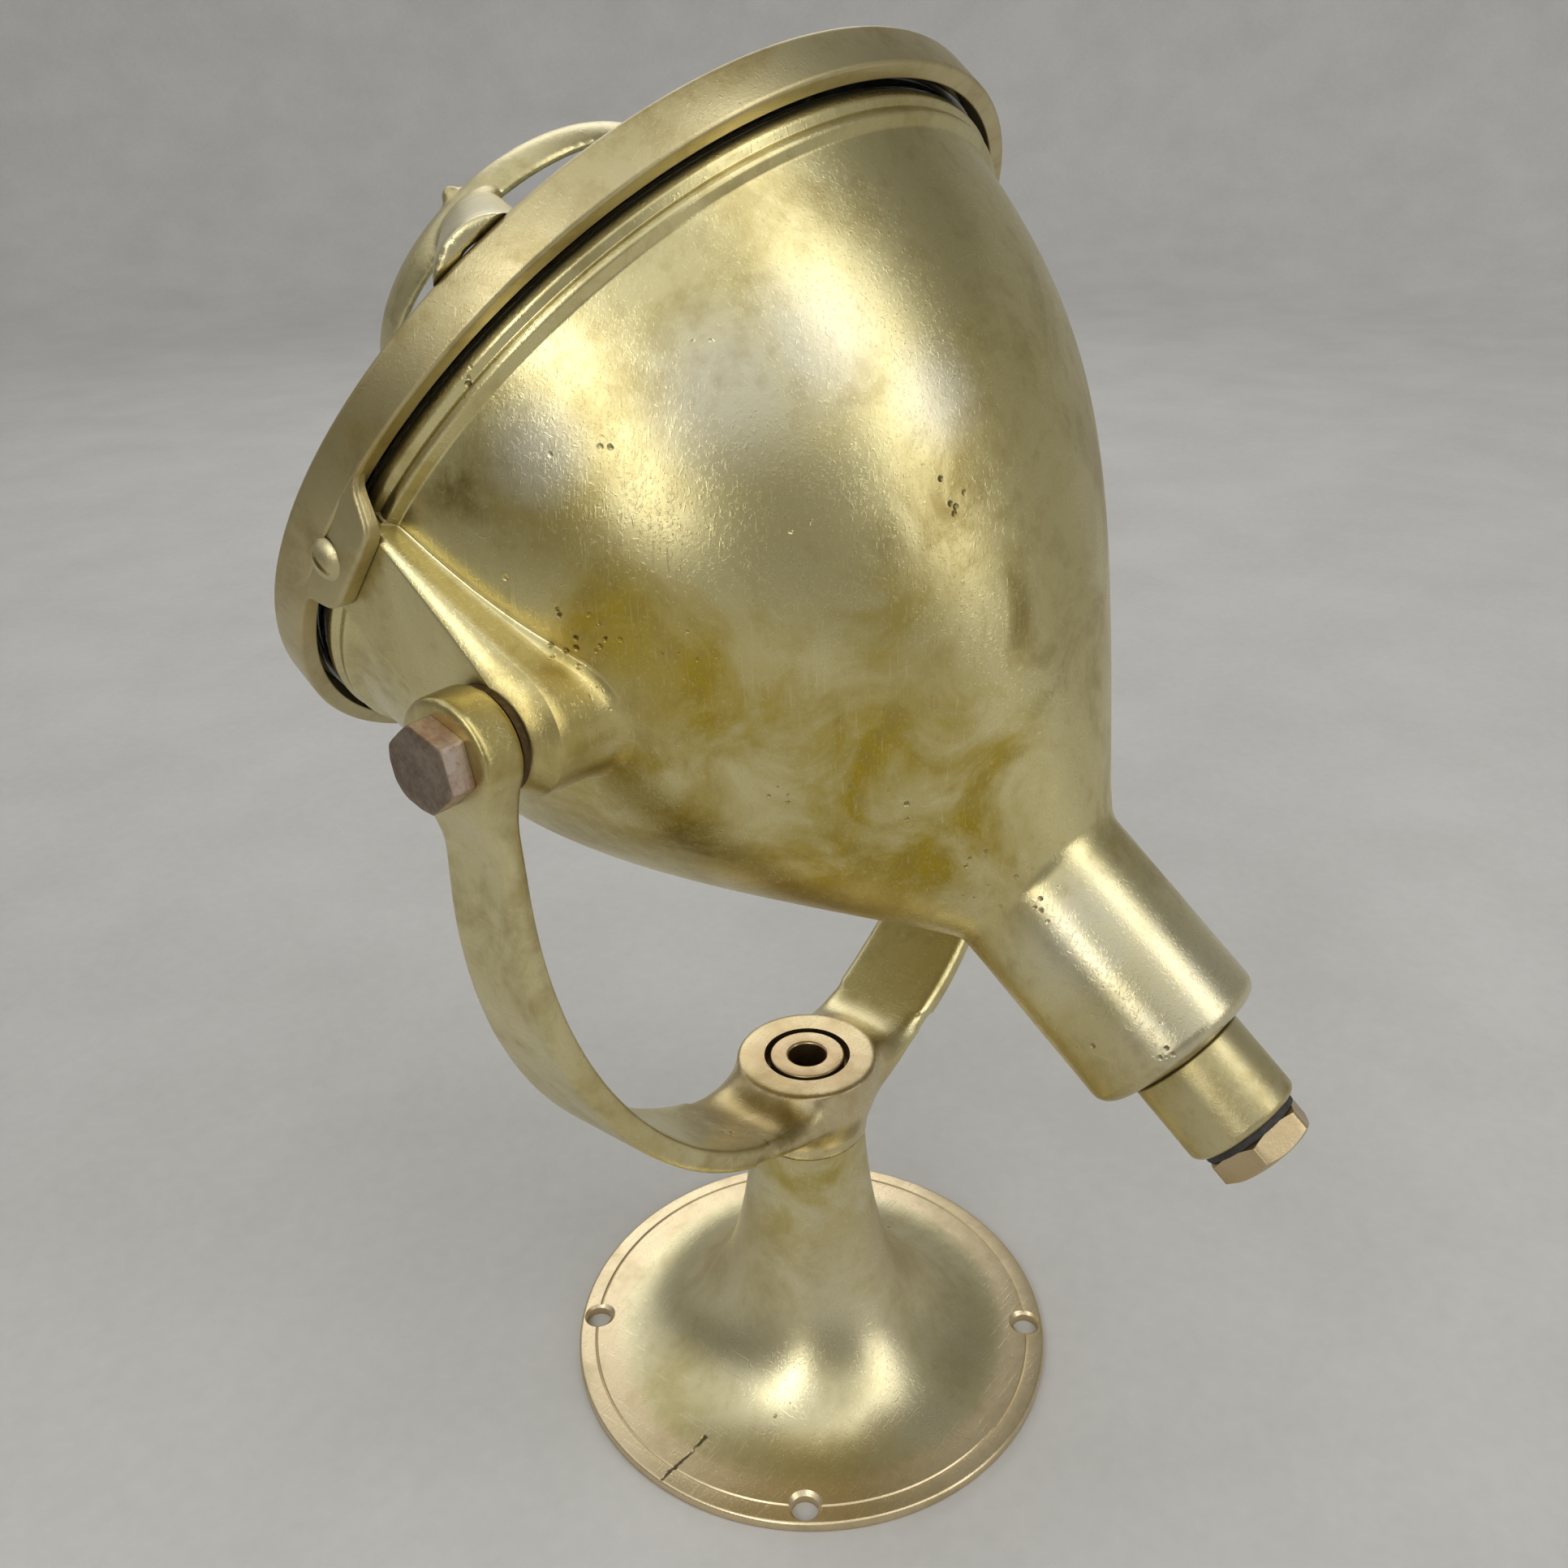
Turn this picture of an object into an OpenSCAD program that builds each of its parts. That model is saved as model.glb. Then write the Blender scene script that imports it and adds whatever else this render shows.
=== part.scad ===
// Marine searchlight in cast brass: a trumpet pedestal, a swivelling yoke and a tilting bell.
// Millimetres. The origin is the centre of the pedestal's underside, +Z is up, +X runs along
// the trunnion axis and +Y is the heading of the mouth. The head is built along its own axis,
// with the trunnion axis at zero, and head_place() sets it at its resting elevation.

/* [Pose] */
// Elevation of the head's axis above the horizon, in degrees
head_tilt = 38.7; // [10:0.1:60]
// Height of the trunnion axis above the deck
trunnion_h = 264.8; // [255:0.2:300]

/* [Pedestal] */
// Diameter of the base flange
flange_d = 160; // [145:1:200]
// Thickness of the flange at its edge
flange_t = 3.5; // [2.5:0.1:6]
// Width of the flat band round the flange
band_w = 13.5; // [11:0.5:18]
// Rise of the flat band from the edge to the trumpet
band_rise = 0.8; // [0.2:0.1:2]
// Distance from the flange's edge to the centre of a fixing hole
hole_inset = 6; // [6:0.1:9]
// Diameter of a fixing hole
hole_d = 8.5; // [5:0.1:9]
// Depth of the countersink of a fixing hole
hole_csk = 1.1; // [0.4:0.1:1.6]
// Turn of the first fixing hole from the trunnion axis, in degrees
hole_turn = 35.4; // [0:0.1:89]
// Number of fixing holes
hole_count = 4; // [3:1:8]
// Height of the neck's top face, on which the yoke turns
neck_h = 91; // [80:0.5:100]
// Diameter of the neck at its top
neck_d = 35.6; // [32:0.2:40]
// Wall of the hollow trumpet
trumpet_wall = 4.5; // [3:0.1:6]
// Length of the solid neck that holds the pivot bolt
neck_solid = 33; // [26:0.5:38]

/* [Swivel pivot] */
// Diameter of the hollow pivot bolt's shank
pivot_d = 16; // [15:0.2:17]
// Diameter of the pivot bolt's round head
pivot_head_d = 22.8; // [21:0.2:25]
// Thickness of the pivot bolt's head
pivot_head_t = 5; // [3:0.1:8]
// Diameter of the cable bore through the pivot bolt
pivot_bore_d = 11.6; // [8:0.2:12]
// Groove round the head of the pivot bolt
pivot_groove = 1.8; // [0.8:0.1:2.5]
// Across-flats size of the pivot nut
pivot_nut_af = 24; // [22:0.5:26]
// Thickness of the pivot nut
pivot_nut_t = 8; // [6:0.5:12]
// Thickness of the washer under the pivot nut
pivot_washer_t = 2; // [1:0.1:3]

/* [Yoke] */
// Height of the yoke's boss
boss_h = 27.4; // [22:0.2:34]
// Diameter of the boss at its top
boss_d = 43.6; // [40:0.2:48]
// Diameter of the collar at the foot of the boss
collar_d = 37; // [34:0.2:40]
// Height of the collar at the foot of the boss
collar_h = 6; // [3:0.5:9]
// Height of the strap's underside above the neck
strap_lift = 11.6; // [8:0.2:16]
// Thickness of the strap
strap_t = 7; // [5:0.2:9]
// Width of the strap below the eyes
strap_w_eye = 19; // [16:0.5:24]
// Width of the strap at the boss
strap_w_foot = 34; // [26:0.5:40]
// Distance of the centres of the side arcs past the swivel axis
side_offset = 21; // [10:0.5:30]
// Angle where the side arcs run into the bottom arc, in degrees
side_turn = 45; // [35:1:55]
// Length of the coves that carry the strap up to the boss
saddle_l = 9.5; // [5:0.5:14]
// Inset of the eyes' inner faces from the outside of the front ring
eye_inset = 2.7; // [1.5:0.1:4]
// Thickness of an eye
eye_t = 10.7; // [8:0.1:14]
// Diameter of an eye
eye_d = 26.4; // [24:0.2:32]

/* [Trunnions] */
// Diameter of the trunnion bolts
bolt_d = 10; // [8:0.5:12]
// Across-flats size of the bolt heads
bolt_af = 17; // [15:0.5:20]
// Thickness of the bolt heads
bolt_head_t = 6.3; // [5:0.1:8]
// Depth of the bolts in the bell's pads
bolt_depth = 15; // [10:0.5:16]
// Thickness of the friction washers
friction_t = 1.7; // [1.2:0.1:3]
// Diameter of the friction washers
friction_d = 24; // [18:0.5:28]

/* [Bell] */
// Distance of the rim's front face ahead of the trunnion axis
rim_s = 54.2; // [50:0.2:60]
// Gap from the bead round the rim to the inside of the front ring's band
bead_gap = 2; // [1:0.1:3]
// Width of the bead
bead_w = 8; // [6:0.5:10]
// Depth of the step from the bead down to the bell
bead_step = 3.5; // [2:0.1:5]
// Wall of the bell
bell_wall = 4; // [3:0.1:5]
// Drop of the skirt's tangent handle
skirt_drop = 5.5; // [2:0.1:9]
// Length of the skirt's tangent handle
skirt_len = 54; // [44:0.5:62]
// Outward reach of the ogive's tangent handle
ogive_out = 52; // [46:0.5:56]
// Forward reach of the ogive's tangent handle
ogive_fwd = 62; // [54:0.5:68]
// Distance of the neck behind the trunnion axis
neck_s = 93; // [89:0.5:98]
// Diameter of the tail
tail_d = 48; // [46:0.2:52]
// Distance of the tail's end behind the trunnion axis
tail_s = 148; // [143:0.5:160]
// Rounding of the tail's end
tail_round = 4; // [1:0.5:5]
// Thickness of the tail's end wall
tail_end_t = 11; // [8:0.5:14]
// Diameter of the trunnion boss end of a pad
pad_boss_d = 31; // [28:0.5:34]
// Width of a pad at the rim
pad_rim_w = 25; // [20:0.5:32]

/* [Front ring] */
// Outer diameter of the front ring
ring_d = 222.8; // [205:0.2:235]
// Width of the ring's band
ring_w = 10.1; // [9.6:0.1:14]
// Wall of the ring's band
ring_wall = 4.4; // [3:0.1:5]
// Thickness of the ring's front lip
lip_t = 2.6; // [2:0.1:4]
// Inward reach of the front lip from the band
lip_reach = 10; // [7:0.5:14]
// Rounding of the ring's edges
ring_round = 1.2; // [0.4:0.1:1.5]
// Width of the tabs over the pads
tab_w = 27; // [22:0.5:32]
// Reach of the tabs behind the band
tab_reach = 12; // [10:0.5:13]
// Distance of the tab screws behind the band
screw_back = 3.2; // [3:0.1:5]
// Diameter of the tab screws
screw_d = 4; // [3:0.1:4.4]
// Diameter of the tab screws' domed heads
screw_head_d = 10; // [8:0.2:11]
// Height of the tab screws' domed heads
screw_head_h = 2.6; // [1.6:0.1:3.5]

/* [Guard] */
// Rise of the hoop's lower edge ahead of the front ring
guard_rise = 41.7; // [34:0.1:50]
// Outer diameter of the hoop at its lower edge
hoop_d = 99.8; // [84:0.2:116]
// Width of the hoop's band along its slope
hoop_w = 16; // [12:0.5:20]
// Slope of the hoop's band from the plane of the front ring, in degrees
hoop_slope = 54; // [45:1:75]
// Thickness of the hoop at its edges
hoop_edge = 1.6; // [1.2:0.1:3]
// Swell of the hoop's rounded outside over its edges
hoop_swell = 2.4; // [1:0.1:4]
// Number of forked legs
leg_count = 4; // [3:1:6]
// Turn of the first leg from the trunnion axis, in degrees
leg_turn = 53.6; // [0:0.1:89]
// Thickness of a leg
leg_t = 3.6; // [2.5:0.1:5]
// Width over the fork of a leg at the hoop
fork_w_top = 18; // [15:0.5:22]
// Width over the fork of a leg at its feet
fork_w_foot = 24; // [18:0.5:30]
// Width of a prong of the fork
prong_w = 4.6; // [3.5:0.1:6]
// Inset of the legs' feet from the outside of the front ring
guard_inset = 7.4; // [6:0.2:9]
// Diameter of the round stud over each leg
stud_d = 5; // [3:0.2:7]

/* [Optics] */
// Gap from the front glass to the inside of the front ring's band
glass_gap = 1.5; // [0.8:0.1:3]
// Depth of the reflector from the rim to its vertex
dish_depth = 96.8; // [90:0.2:104]
// Wall of the reflector
reflector_wall = 0.8; // [0.6:0.1:1.2]
// Diameter of the lamp's hole in the reflector
reflector_hole_d = 46; // [40:0.5:54]
// Diameter of the lamp's globe
globe_d = 50; // [40:0.5:56]
// Diameter of the lamp's cap
cap_d = 26; // [24:0.2:27]
// Length of the lamp's cap
cap_l = 25; // [20:0.5:28]
// Diameter of the ceramic lamp holder
holder_d = 37.8; // [36:0.2:38.4]
// Length of the ceramic lamp holder
holder_l = 47; // [42:0.5:52]

/* [Cable gland] */
// Diameter of the gland's body
gland_d = 30.4; // [28:0.2:34]
// Length of the gland's body outside the tail
gland_l = 22.5; // [18:0.5:28]
// Diameter of the gland's threaded spigot
gland_spigot_d = 22; // [20:0.5:24]
// Thickness of the washer at the tail
gland_washer_t = 1.5; // [1:0.1:2.5]
// Thickness of the dark ring under the nut
gland_ring_t = 2; // [1:0.1:3]
// Diameter of the dark ring under the nut
gland_ring_d = 25.6; // [23:0.2:28]
// Across-flats size of the gland nut
gland_nut_af = 24; // [23:0.5:28]
// Thickness of the gland nut's hexagon
gland_nut_t = 7; // [5:0.5:10]
// Diameter of the cable entry in the gland nut
cable_entry_d = 12; // [8:0.2:13]

/* [Hidden] */
$fn = 96;
// Running clearance of a shaft in its hole, on the radius
run = 0.05;
// Clearance of a piece that is dropped into its seat, on the radius
slip = 0.3;
// Gap that parts turning bodies which face each other
turn_gap = 0.15;
// Overshoot of a cutting body past the faces that it cuts
over = 1;
// Steps of a drawn curve
steps = 24;
// Far larger than the part, for half-space cutters
huge = 400;

flange_r = flange_d / 2;
neck_r = neck_d / 2;
hole_pcd = flange_d - 2 * hole_inset;
scribe_w = 0.8;
scribe_depth = 0.3;
band_top = flange_t + band_rise;
trumpet_foot_r = flange_r - band_w;
foot_lift = 2.7;
neck_flare = 4.2;
// The trumpet is one Bezier curve of radius and height, drawn from the foot to the neck
trumpet = [[trumpet_foot_r, band_top], [trumpet_foot_r * 0.54, band_top + foot_lift],
           [neck_r + neck_flare, neck_h * 0.33], [neck_r, neck_h]];
solid_z = neck_h - neck_solid;

pivot_r = pivot_d / 2;
pivot_washer_rim = 3;
pivot_washer_d = pivot_nut_af + pivot_washer_rim;
pivot_tail = 3;
pivot_end_z = solid_z - pivot_washer_t - pivot_nut_t - pivot_tail;
boss_top = neck_h + boss_h;
boss_chamfer = 0.8;
boss_waist = 4;

// The front ring sets the width of the yoke and the bell
ring_r = ring_d / 2;
ring_in_r = ring_r - ring_wall;
eye_in = ring_r - eye_inset;
guard_foot_r = ring_r - guard_inset;

strap_z = neck_h + strap_lift;
arm_x = eye_in + strap_t;
side_r = arm_x + side_offset;
bottom_r = side_r - side_offset / cos(side_turn);
bottom_z = strap_z + bottom_r;
side_z = bottom_z + side_offset * tan(side_turn);
eye_out = eye_in + eye_t;
eye_r = eye_d / 2;
// The strap thickens to the eye between these two distances below the trunnion axis
flare_l = 11;
flare_top = eye_r * 0.7;
flare_foot = max(flare_top + over, min(eye_r + flare_l, trunnion_h - side_z));
waist_drop = 4;
waist_z = trunnion_h - eye_r - waist_drop;

bolt_r = bolt_d / 2;
bolt_chamfer = 1.2;
pad_x = eye_in - friction_t - 2 * turn_gap;
bolt_tip_x = pad_x - bolt_depth;
bolt_hole_spare = 1;

bead_r = ring_in_r - bead_gap;
bead_back = rim_s - bead_w;
rim_r = bead_r - bead_step;
bead_edge = 1;
rim_in_r = rim_r - bell_wall;
tail_r = tail_d / 2;
// The bell is one Bezier curve of radius and station, drawn from the bead to the neck
bell = [[rim_r, bead_back], [rim_r - skirt_drop, bead_back - skirt_len],
        [tail_r + ogive_out, ogive_fwd - neck_s], [tail_r, -neck_s]];
holder_r = holder_d / 2;
tail_bore_r = holder_r + slip;
seat_bore_r = 14;

ring_back = rim_s + turn_gap * 2;
ring_front = ring_back + ring_w;
lip_back = ring_front - lip_t;
lip_in_r = ring_in_r - lip_reach;
screw_s = ring_back - screw_back;
screw_r = screw_d / 2;
screw_floor = 2.5;
screw_tip_x = rim_in_r + screw_floor;
seat_x = ring_r - ring_round / 2;
tab_in_x = pad_x + turn_gap;
tab_corner = 8;
slot_w = 1.4;
slot_depth = 1.2;

// The legs start inside the hoop's band, this far up its slope from the lower edge
leg_sink = 3.5;
leg_fillet = 6;
fork_gap = 3;
hoop_r = hoop_d / 2;
leg_top_r = hoop_r - leg_sink * cos(hoop_slope);
leg_top_s = guard_rise + leg_sink * sin(hoop_slope);
leg_slope = atan2(leg_top_s, guard_foot_r - leg_top_r);
leg_l = norm([guard_foot_r - leg_top_r, leg_top_s]);

// Stack between the rim and the lip: reflector flange, gasket, glass, gasket
flange_s = rim_s + reflector_wall;
gasket_t = 1.2;
glass_r = ring_in_r - glass_gap;
glass_back = flange_s + gasket_t;
glass_front = lip_back - gasket_t;
gasket_w = 6;

// Paraboloid with its mouth at the rim, in radius and station
mouth_r = rim_in_r - slip - reflector_wall;
focal = mouth_r * mouth_r / (4 * dish_depth);
vertex_s = rim_s - dish_depth;
function dish_s(r) = vertex_s + r * r / (4 * focal);
reflector_hole_r = reflector_hole_d / 2;

cap_r = cap_d / 2;
globe_r = globe_d / 2;
terminal_room = 25;
seat_s = terminal_room + tail_end_t - tail_s;
holder_front = seat_s + holder_l;
shell_wall = 0.8;
shell_r = cap_r + slip + shell_wall;
contact_t = 4;
contact_r = 4;
socket_base_t = 14;
socket_floor = seat_s + socket_base_t;
cap_back = socket_floor + contact_t;
cap_front = cap_back + cap_l;
cap_tip_r = 5;
cap_cone_w = 3;
cap_cone_h = 4;
cap_skirt_h = 7;
globe_s = vertex_s + focal;
lamp_neck_gap = 0.6;
lamp_neck_r = cap_r - lamp_neck_gap;
lamp_wall = 0.8;
filament_r = 0.4;
filament_span = 7;
holder_screw_r = 1.5;
holder_screw_pcr = (shell_r + holder_r) / 2;
holder_screw_head_r = min(2.1, (holder_r - shell_r) / 2 - 0.1);
holder_screw_bite = 8;
terminal_r = 2.2;
terminal_l = 4;

gland_r = gland_d / 2;
spigot_r = gland_spigot_d / 2;
gland_top = tail_s + gland_washer_t;
gland_end = gland_top + gland_l;
ring_end = gland_end + gland_ring_t;
nut_end = ring_end + gland_nut_t;
entry_r = cable_entry_d / 2;
nut_spigot_wall = 3;
nut_spigot_r = entry_r + nut_spigot_wall;
nut_spigot_l = 6;
grommet_l = 9;
grommet_r = nut_spigot_r;
grommet_grip = 0.6;
grommet_bore_r = entry_r - grommet_grip;
gland_bore_r = 7;
gland_round = 1.5;

brass = "#c0a862";
polished = "#cdb878";
steel = "#8a7468";
dark = "#26241f";

// Cubic Bezier curve, its direction, and the curve moved sideways by a wall
function bez(p, t) = pow(1 - t, 3) * p[0] + 3 * pow(1 - t, 2) * t * p[1]
                     + 3 * (1 - t) * t * t * p[2] + pow(t, 3) * p[3];
function bez_way(p, t) = let (d = pow(1 - t, 2) * (p[1] - p[0]) + 2 * (1 - t) * t * (p[2] - p[1])
                                  + t * t * (p[3] - p[2])) d / norm(d);
function bez_wall(p, t, wall) = let (d = bez_way(p, t)) bez(p, t) + wall * [d.y, -d.x];
// Points of an arc from angle a to angle b
function arc(c, r, a, b) = [for (i = [0 : steps]) c + r * [cos(a + (b - a) * i / steps),
                                                          sin(a + (b - a) * i / steps)]];

// Sets a piece of the head, built along +Z from the trunnion axis, at its resting place
module head_place() {
    translate([0, 0, trunnion_h]) rotate([head_tilt - 90, 0, 0]) children();
}

// Lays a piece built along +Z on the trunnion axis, on the side +1 or -1
module trunnion_place(side) {
    translate([0, 0, trunnion_h]) rotate([0, 90 * side, 0]) children();
}

// Round bar along Z from one station to another
module rod(r, from, to) {
    translate([0, 0, min(from, to)]) cylinder(r = r, h = abs(to - from));
}

// Ring along Z from one station to another
module tube(r_out, r_in, from, to) {
    difference() {
        rod(r_out, from, to);
        rod(r_in, min(from, to) - over, max(from, to) + over);
    }
}

module hexagon(af, from, to) {
    translate([0, 0, min(from, to)]) cylinder(r = af / 2 / cos(30), h = abs(to - from), $fn = 6);
}

module pedestal() {
    color(brass) difference() {
        rotate_extrude() polygon(concat(
            [[0, 0], [flange_r, 0], [flange_r, flange_t]],
            [for (i = [0 : steps]) bez(trumpet, i / steps)],
            [[0, neck_h]]));
        rotate_extrude() polygon(concat(
            [[0, -over], [trumpet_foot_r, -over]],
            [for (i = [1 : steps]) let (p = bez_wall(trumpet, i / steps, -trumpet_wall))
                [max(p.x, 0), min(max(p.y, -over), solid_z)]],
            [[0, solid_z]]));
        rod(pivot_r + run, 0, neck_h + over);
        tube(hole_pcd / 2 + scribe_w / 2, hole_pcd / 2 - scribe_w / 2,
             flange_t + band_rise * (hole_inset - scribe_w / 2) / band_w - scribe_depth, band_top + over);
        for (i = [0 : hole_count - 1])
            rotate(hole_turn + i * 360 / hole_count) translate([hole_pcd / 2, 0, 0]) fixing_hole();
    }
}

module fixing_hole() {
    top = flange_t + band_rise * hole_inset / band_w;
    rod(hole_d / 2, -over, band_top + over);
    translate([0, 0, top - hole_csk])
        cylinder(r1 = hole_d / 2, r2 = hole_d / 2 + hole_csk + over, h = hole_csk + over);
}

module pivot_bolt() {
    color(polished) difference() {
        union() {
            rod(pivot_head_d / 2, boss_top - pivot_head_t, boss_top);
            rod(pivot_r, pivot_end_z, boss_top - pivot_head_t);
        }
        rod(pivot_bore_d / 2, pivot_end_z - over, boss_top + over);
    }
}

module pivot_washer() {
    color(steel) tube(pivot_washer_d / 2, pivot_r + slip, solid_z - pivot_washer_t, solid_z);
}

module pivot_nut() {
    top = solid_z - pivot_washer_t;
    color(brass) difference() {
        hexagon(pivot_nut_af, top - pivot_nut_t, top);
        rod(pivot_r + run, top - pivot_nut_t - over, top + over);
    }
}

// U of the strap in the plane of X and Z: straight arms, two side arcs and a bottom arc
module strap_outline() {
    inner_top = trunnion_h + eye_r + over;
    half = concat(
        [[eye_out, inner_top], [eye_out, trunnion_h - flare_top], [arm_x, trunnion_h - flare_foot]],
        arc([-side_offset, side_z], side_r, 0, -side_turn),
        arc([0, bottom_z], bottom_r, -side_turn, -90));
    hollow = concat(
        arc([0, bottom_z], bottom_r - strap_t, -90, -side_turn),
        arc([-side_offset, side_z], side_r - strap_t, -side_turn, 0),
        [[eye_in, inner_top]]);
    for (side = [0, 1]) mirror([side, 0]) polygon(concat(half, hollow));
}

// Outline of the arms seen along X: the strap widens from the eye down to the boss
module arm_outline() {
    translate([0, trunnion_h]) circle(r = eye_r);
    polygon([[-strap_w_eye / 2, trunnion_h], [-strap_w_eye / 2, waist_z],
             [-strap_w_foot / 2, boss_top], [-strap_w_foot / 2, neck_h],
             [strap_w_foot / 2, neck_h], [strap_w_foot / 2, boss_top],
             [strap_w_eye / 2, waist_z], [strap_w_eye / 2, trunnion_h]]);
}

// Coves from the boss's top edge down to the strap, as wide as the strap
module saddle() {
    inner_r = bottom_r - strap_t;
    foot_r = boss_d / 2 + saddle_l;
    foot_z = bottom_z - sqrt(inner_r * inner_r - foot_r * foot_r);
    top_z = boss_top - boss_chamfer;
    intersection() {
        rotate_extrude() polygon(concat(
            [[0, strap_z + strap_t / 2], [foot_r, strap_z + strap_t / 2]],
            [for (i = [0 : steps]) let (k = i / steps)
                [foot_r - saddle_l * k, foot_z + (top_z - foot_z) * k * k]],
            [[0, top_z]]));
        translate([0, 0, boss_top]) cube([huge, strap_w_foot, 2 * boss_h], center = true);
    }
}

module yoke() {
    counterbore_r = pivot_head_d / 2 + pivot_groove;
    color(brass) difference() {
        union() {
            intersection() {
                rotate([90, 0, 0]) linear_extrude(2 * strap_w_foot, center = true) strap_outline();
                rotate([90, 0, 90]) linear_extrude(2 * eye_out + 2 * over, center = true) arm_outline();
            }
            rotate_extrude() polygon([[0, neck_h], [collar_d / 2, neck_h],
                [collar_d / 2, neck_h + collar_h], [boss_d / 2, neck_h + collar_h + boss_waist],
                [boss_d / 2, boss_top - boss_chamfer], [boss_d / 2 - boss_chamfer, boss_top],
                [0, boss_top]]);
            saddle();
        }
        rod(pivot_r + run, neck_h - over, boss_top + over);
        rod(counterbore_r, boss_top - pivot_head_t, boss_top + over);
        for (side = [-1, 1]) trunnion_place(side) rod(bolt_r + run, eye_in - over, eye_out + over);
    }
}

// Pad seen along the trunnion axis: a round boss that runs forward to the rim
module pad_outline() {
    circle(r = pad_boss_d / 2);
    polygon([[-pad_boss_d / 2, 0], [pad_boss_d / 2, 0],
             [pad_rim_w / 2, rim_s], [-pad_rim_w / 2, rim_s]]);
}

module bell_housing() {
    color(brass) head_place() difference() {
        union() {
            rotate_extrude() polygon(concat(
                [[0, rim_s], [bead_r - bead_edge, rim_s], [bead_r, rim_s - bead_edge],
                 [bead_r, bead_back + bead_edge], [bead_r - bead_edge, bead_back]],
                [for (i = [0 : steps]) bez(bell, i / steps)],
                arc([tail_r - tail_round, tail_round - tail_s], tail_round, 0, -90),
                [[0, -tail_s]]));
            for (side = [-1, 1]) rotate([0, 90 * side, 0]) translate([0, 0, pad_x / 2])
                linear_extrude(pad_x / 2) rotate(90 * side) pad_outline();
        }
        bell_hollow();
        for (side = [-1, 1]) rotate([0, 90 * side, 0]) {
            rod(bolt_r + run, bolt_tip_x - bolt_hole_spare, pad_x + over);
            translate([-screw_s * side, 0, 0]) rod(screw_r + run, screw_tip_x - over, pad_x + over);
        }
    }
}

// Inside of the bell and the stepped bore of its tail
module bell_hollow() {
    rotate_extrude() polygon(concat(
        [[0, rim_s + over], [rim_in_r, rim_s + over], [rim_in_r, bead_back]],
        [for (i = [1 : steps]) let (p = bez_wall(bell, i / steps, bell_wall))
            [max(p.x, tail_bore_r), min(p.y, bead_back)]],
        [[tail_bore_r, seat_s], [seat_bore_r, seat_s], [seat_bore_r, tail_end_t - tail_s],
         [spigot_r + run, tail_end_t - tail_s], [spigot_r + run, -tail_s - over], [0, -tail_s - over]]));
    for (i = [0, 1]) rotate(90 + i * 180) translate([holder_screw_pcr, 0, 0])
        rod(holder_screw_r + run, seat_s - holder_screw_bite - over, seat_s + over);
}

module trunnion_bolt(side) {
    color(steel) trunnion_place(side) union() {
        rod(bolt_r, bolt_tip_x, eye_out);
        intersection() {
            hexagon(bolt_af, eye_out, eye_out + bolt_head_t);
            union() {
                rod(bolt_af, eye_out, eye_out + bolt_head_t - bolt_chamfer);
                translate([0, 0, eye_out + bolt_head_t - bolt_chamfer])
                    cylinder(r1 = bolt_af / 2 + bolt_chamfer * 2, r2 = bolt_af / 2, h = bolt_chamfer);
            }
        }
    }
}

module trunnion_bolt_left() { trunnion_bolt(-1); }

module trunnion_bolt_right() { trunnion_bolt(1); }

module friction_washer(side) {
    color(dark) trunnion_place(side)
        tube(friction_d / 2, bolt_r + slip, pad_x + turn_gap, pad_x + turn_gap + friction_t);
}

module friction_washer_left() { friction_washer(-1); }

module friction_washer_right() { friction_washer(1); }

// Tab seen along the trunnion axis, with rounded corners at its free end
module tab_outline() {
    free = ring_back - tab_reach;
    translate([-tab_w / 2, free + tab_corner]) square([tab_w, tab_reach - tab_corner + ring_w / 2]);
    translate([-tab_w / 2 + tab_corner, free]) square([tab_w - 2 * tab_corner, tab_reach]);
    for (side = [-1, 1]) translate([side * (tab_w / 2 - tab_corner), free + tab_corner])
        circle(r = tab_corner);
}

module front_ring() {
    color(brass) head_place() difference() {
        union() {
            rotate_extrude() polygon([
                [ring_in_r, ring_back], [ring_r - ring_round, ring_back],
                [ring_r, ring_back + ring_round], [ring_r, ring_front - ring_round],
                [ring_r - ring_round, ring_front], [lip_in_r, ring_front],
                [lip_in_r, lip_back], [ring_in_r, lip_back]]);
            intersection() {
                for (side = [-1, 1]) rotate([0, 90 * side, 0]) translate([0, 0, tab_in_x])
                    linear_extrude(ring_r) rotate(90 * side) tab_outline();
                rod(ring_r - ring_round / 2, ring_back - tab_reach - over, ring_back + ring_w / 2);
                difference() {
                    rod(ring_d, ring_back - tab_reach - over, ring_back + ring_w / 2);
                    rod(ring_in_r, ring_back, ring_back + ring_w);
                }
            }
        }
        for (side = [-1, 1]) rotate([0, 90 * side, 0]) translate([-screw_s * side, 0, 0]) {
            rod(screw_r + slip, tab_in_x - over, ring_r + over);
            rod(screw_head_d / 2 + slip, seat_x, ring_r + over);
        }
    }
}

module ring_screws() {
    dome_r = (screw_head_d * screw_head_d / 4 + screw_head_h * screw_head_h) / (2 * screw_head_h);
    color(polished) head_place() for (side = [-1, 1])
        rotate([0, 90 * side, 0]) translate([-screw_s * side, 0, 0]) difference() {
            union() {
                rod(screw_r, screw_tip_x, seat_x + over);
                intersection() {
                    rod(screw_head_d / 2, seat_x, seat_x + screw_head_h + over);
                    translate([0, 0, seat_x + screw_head_h - dome_r]) sphere(r = dome_r);
                }
            }
            translate([-slot_w / 2, -screw_head_d, seat_x + screw_head_h - slot_depth])
                cube([slot_w, 2 * screw_head_d, slot_depth + over]);
        }
}

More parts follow.
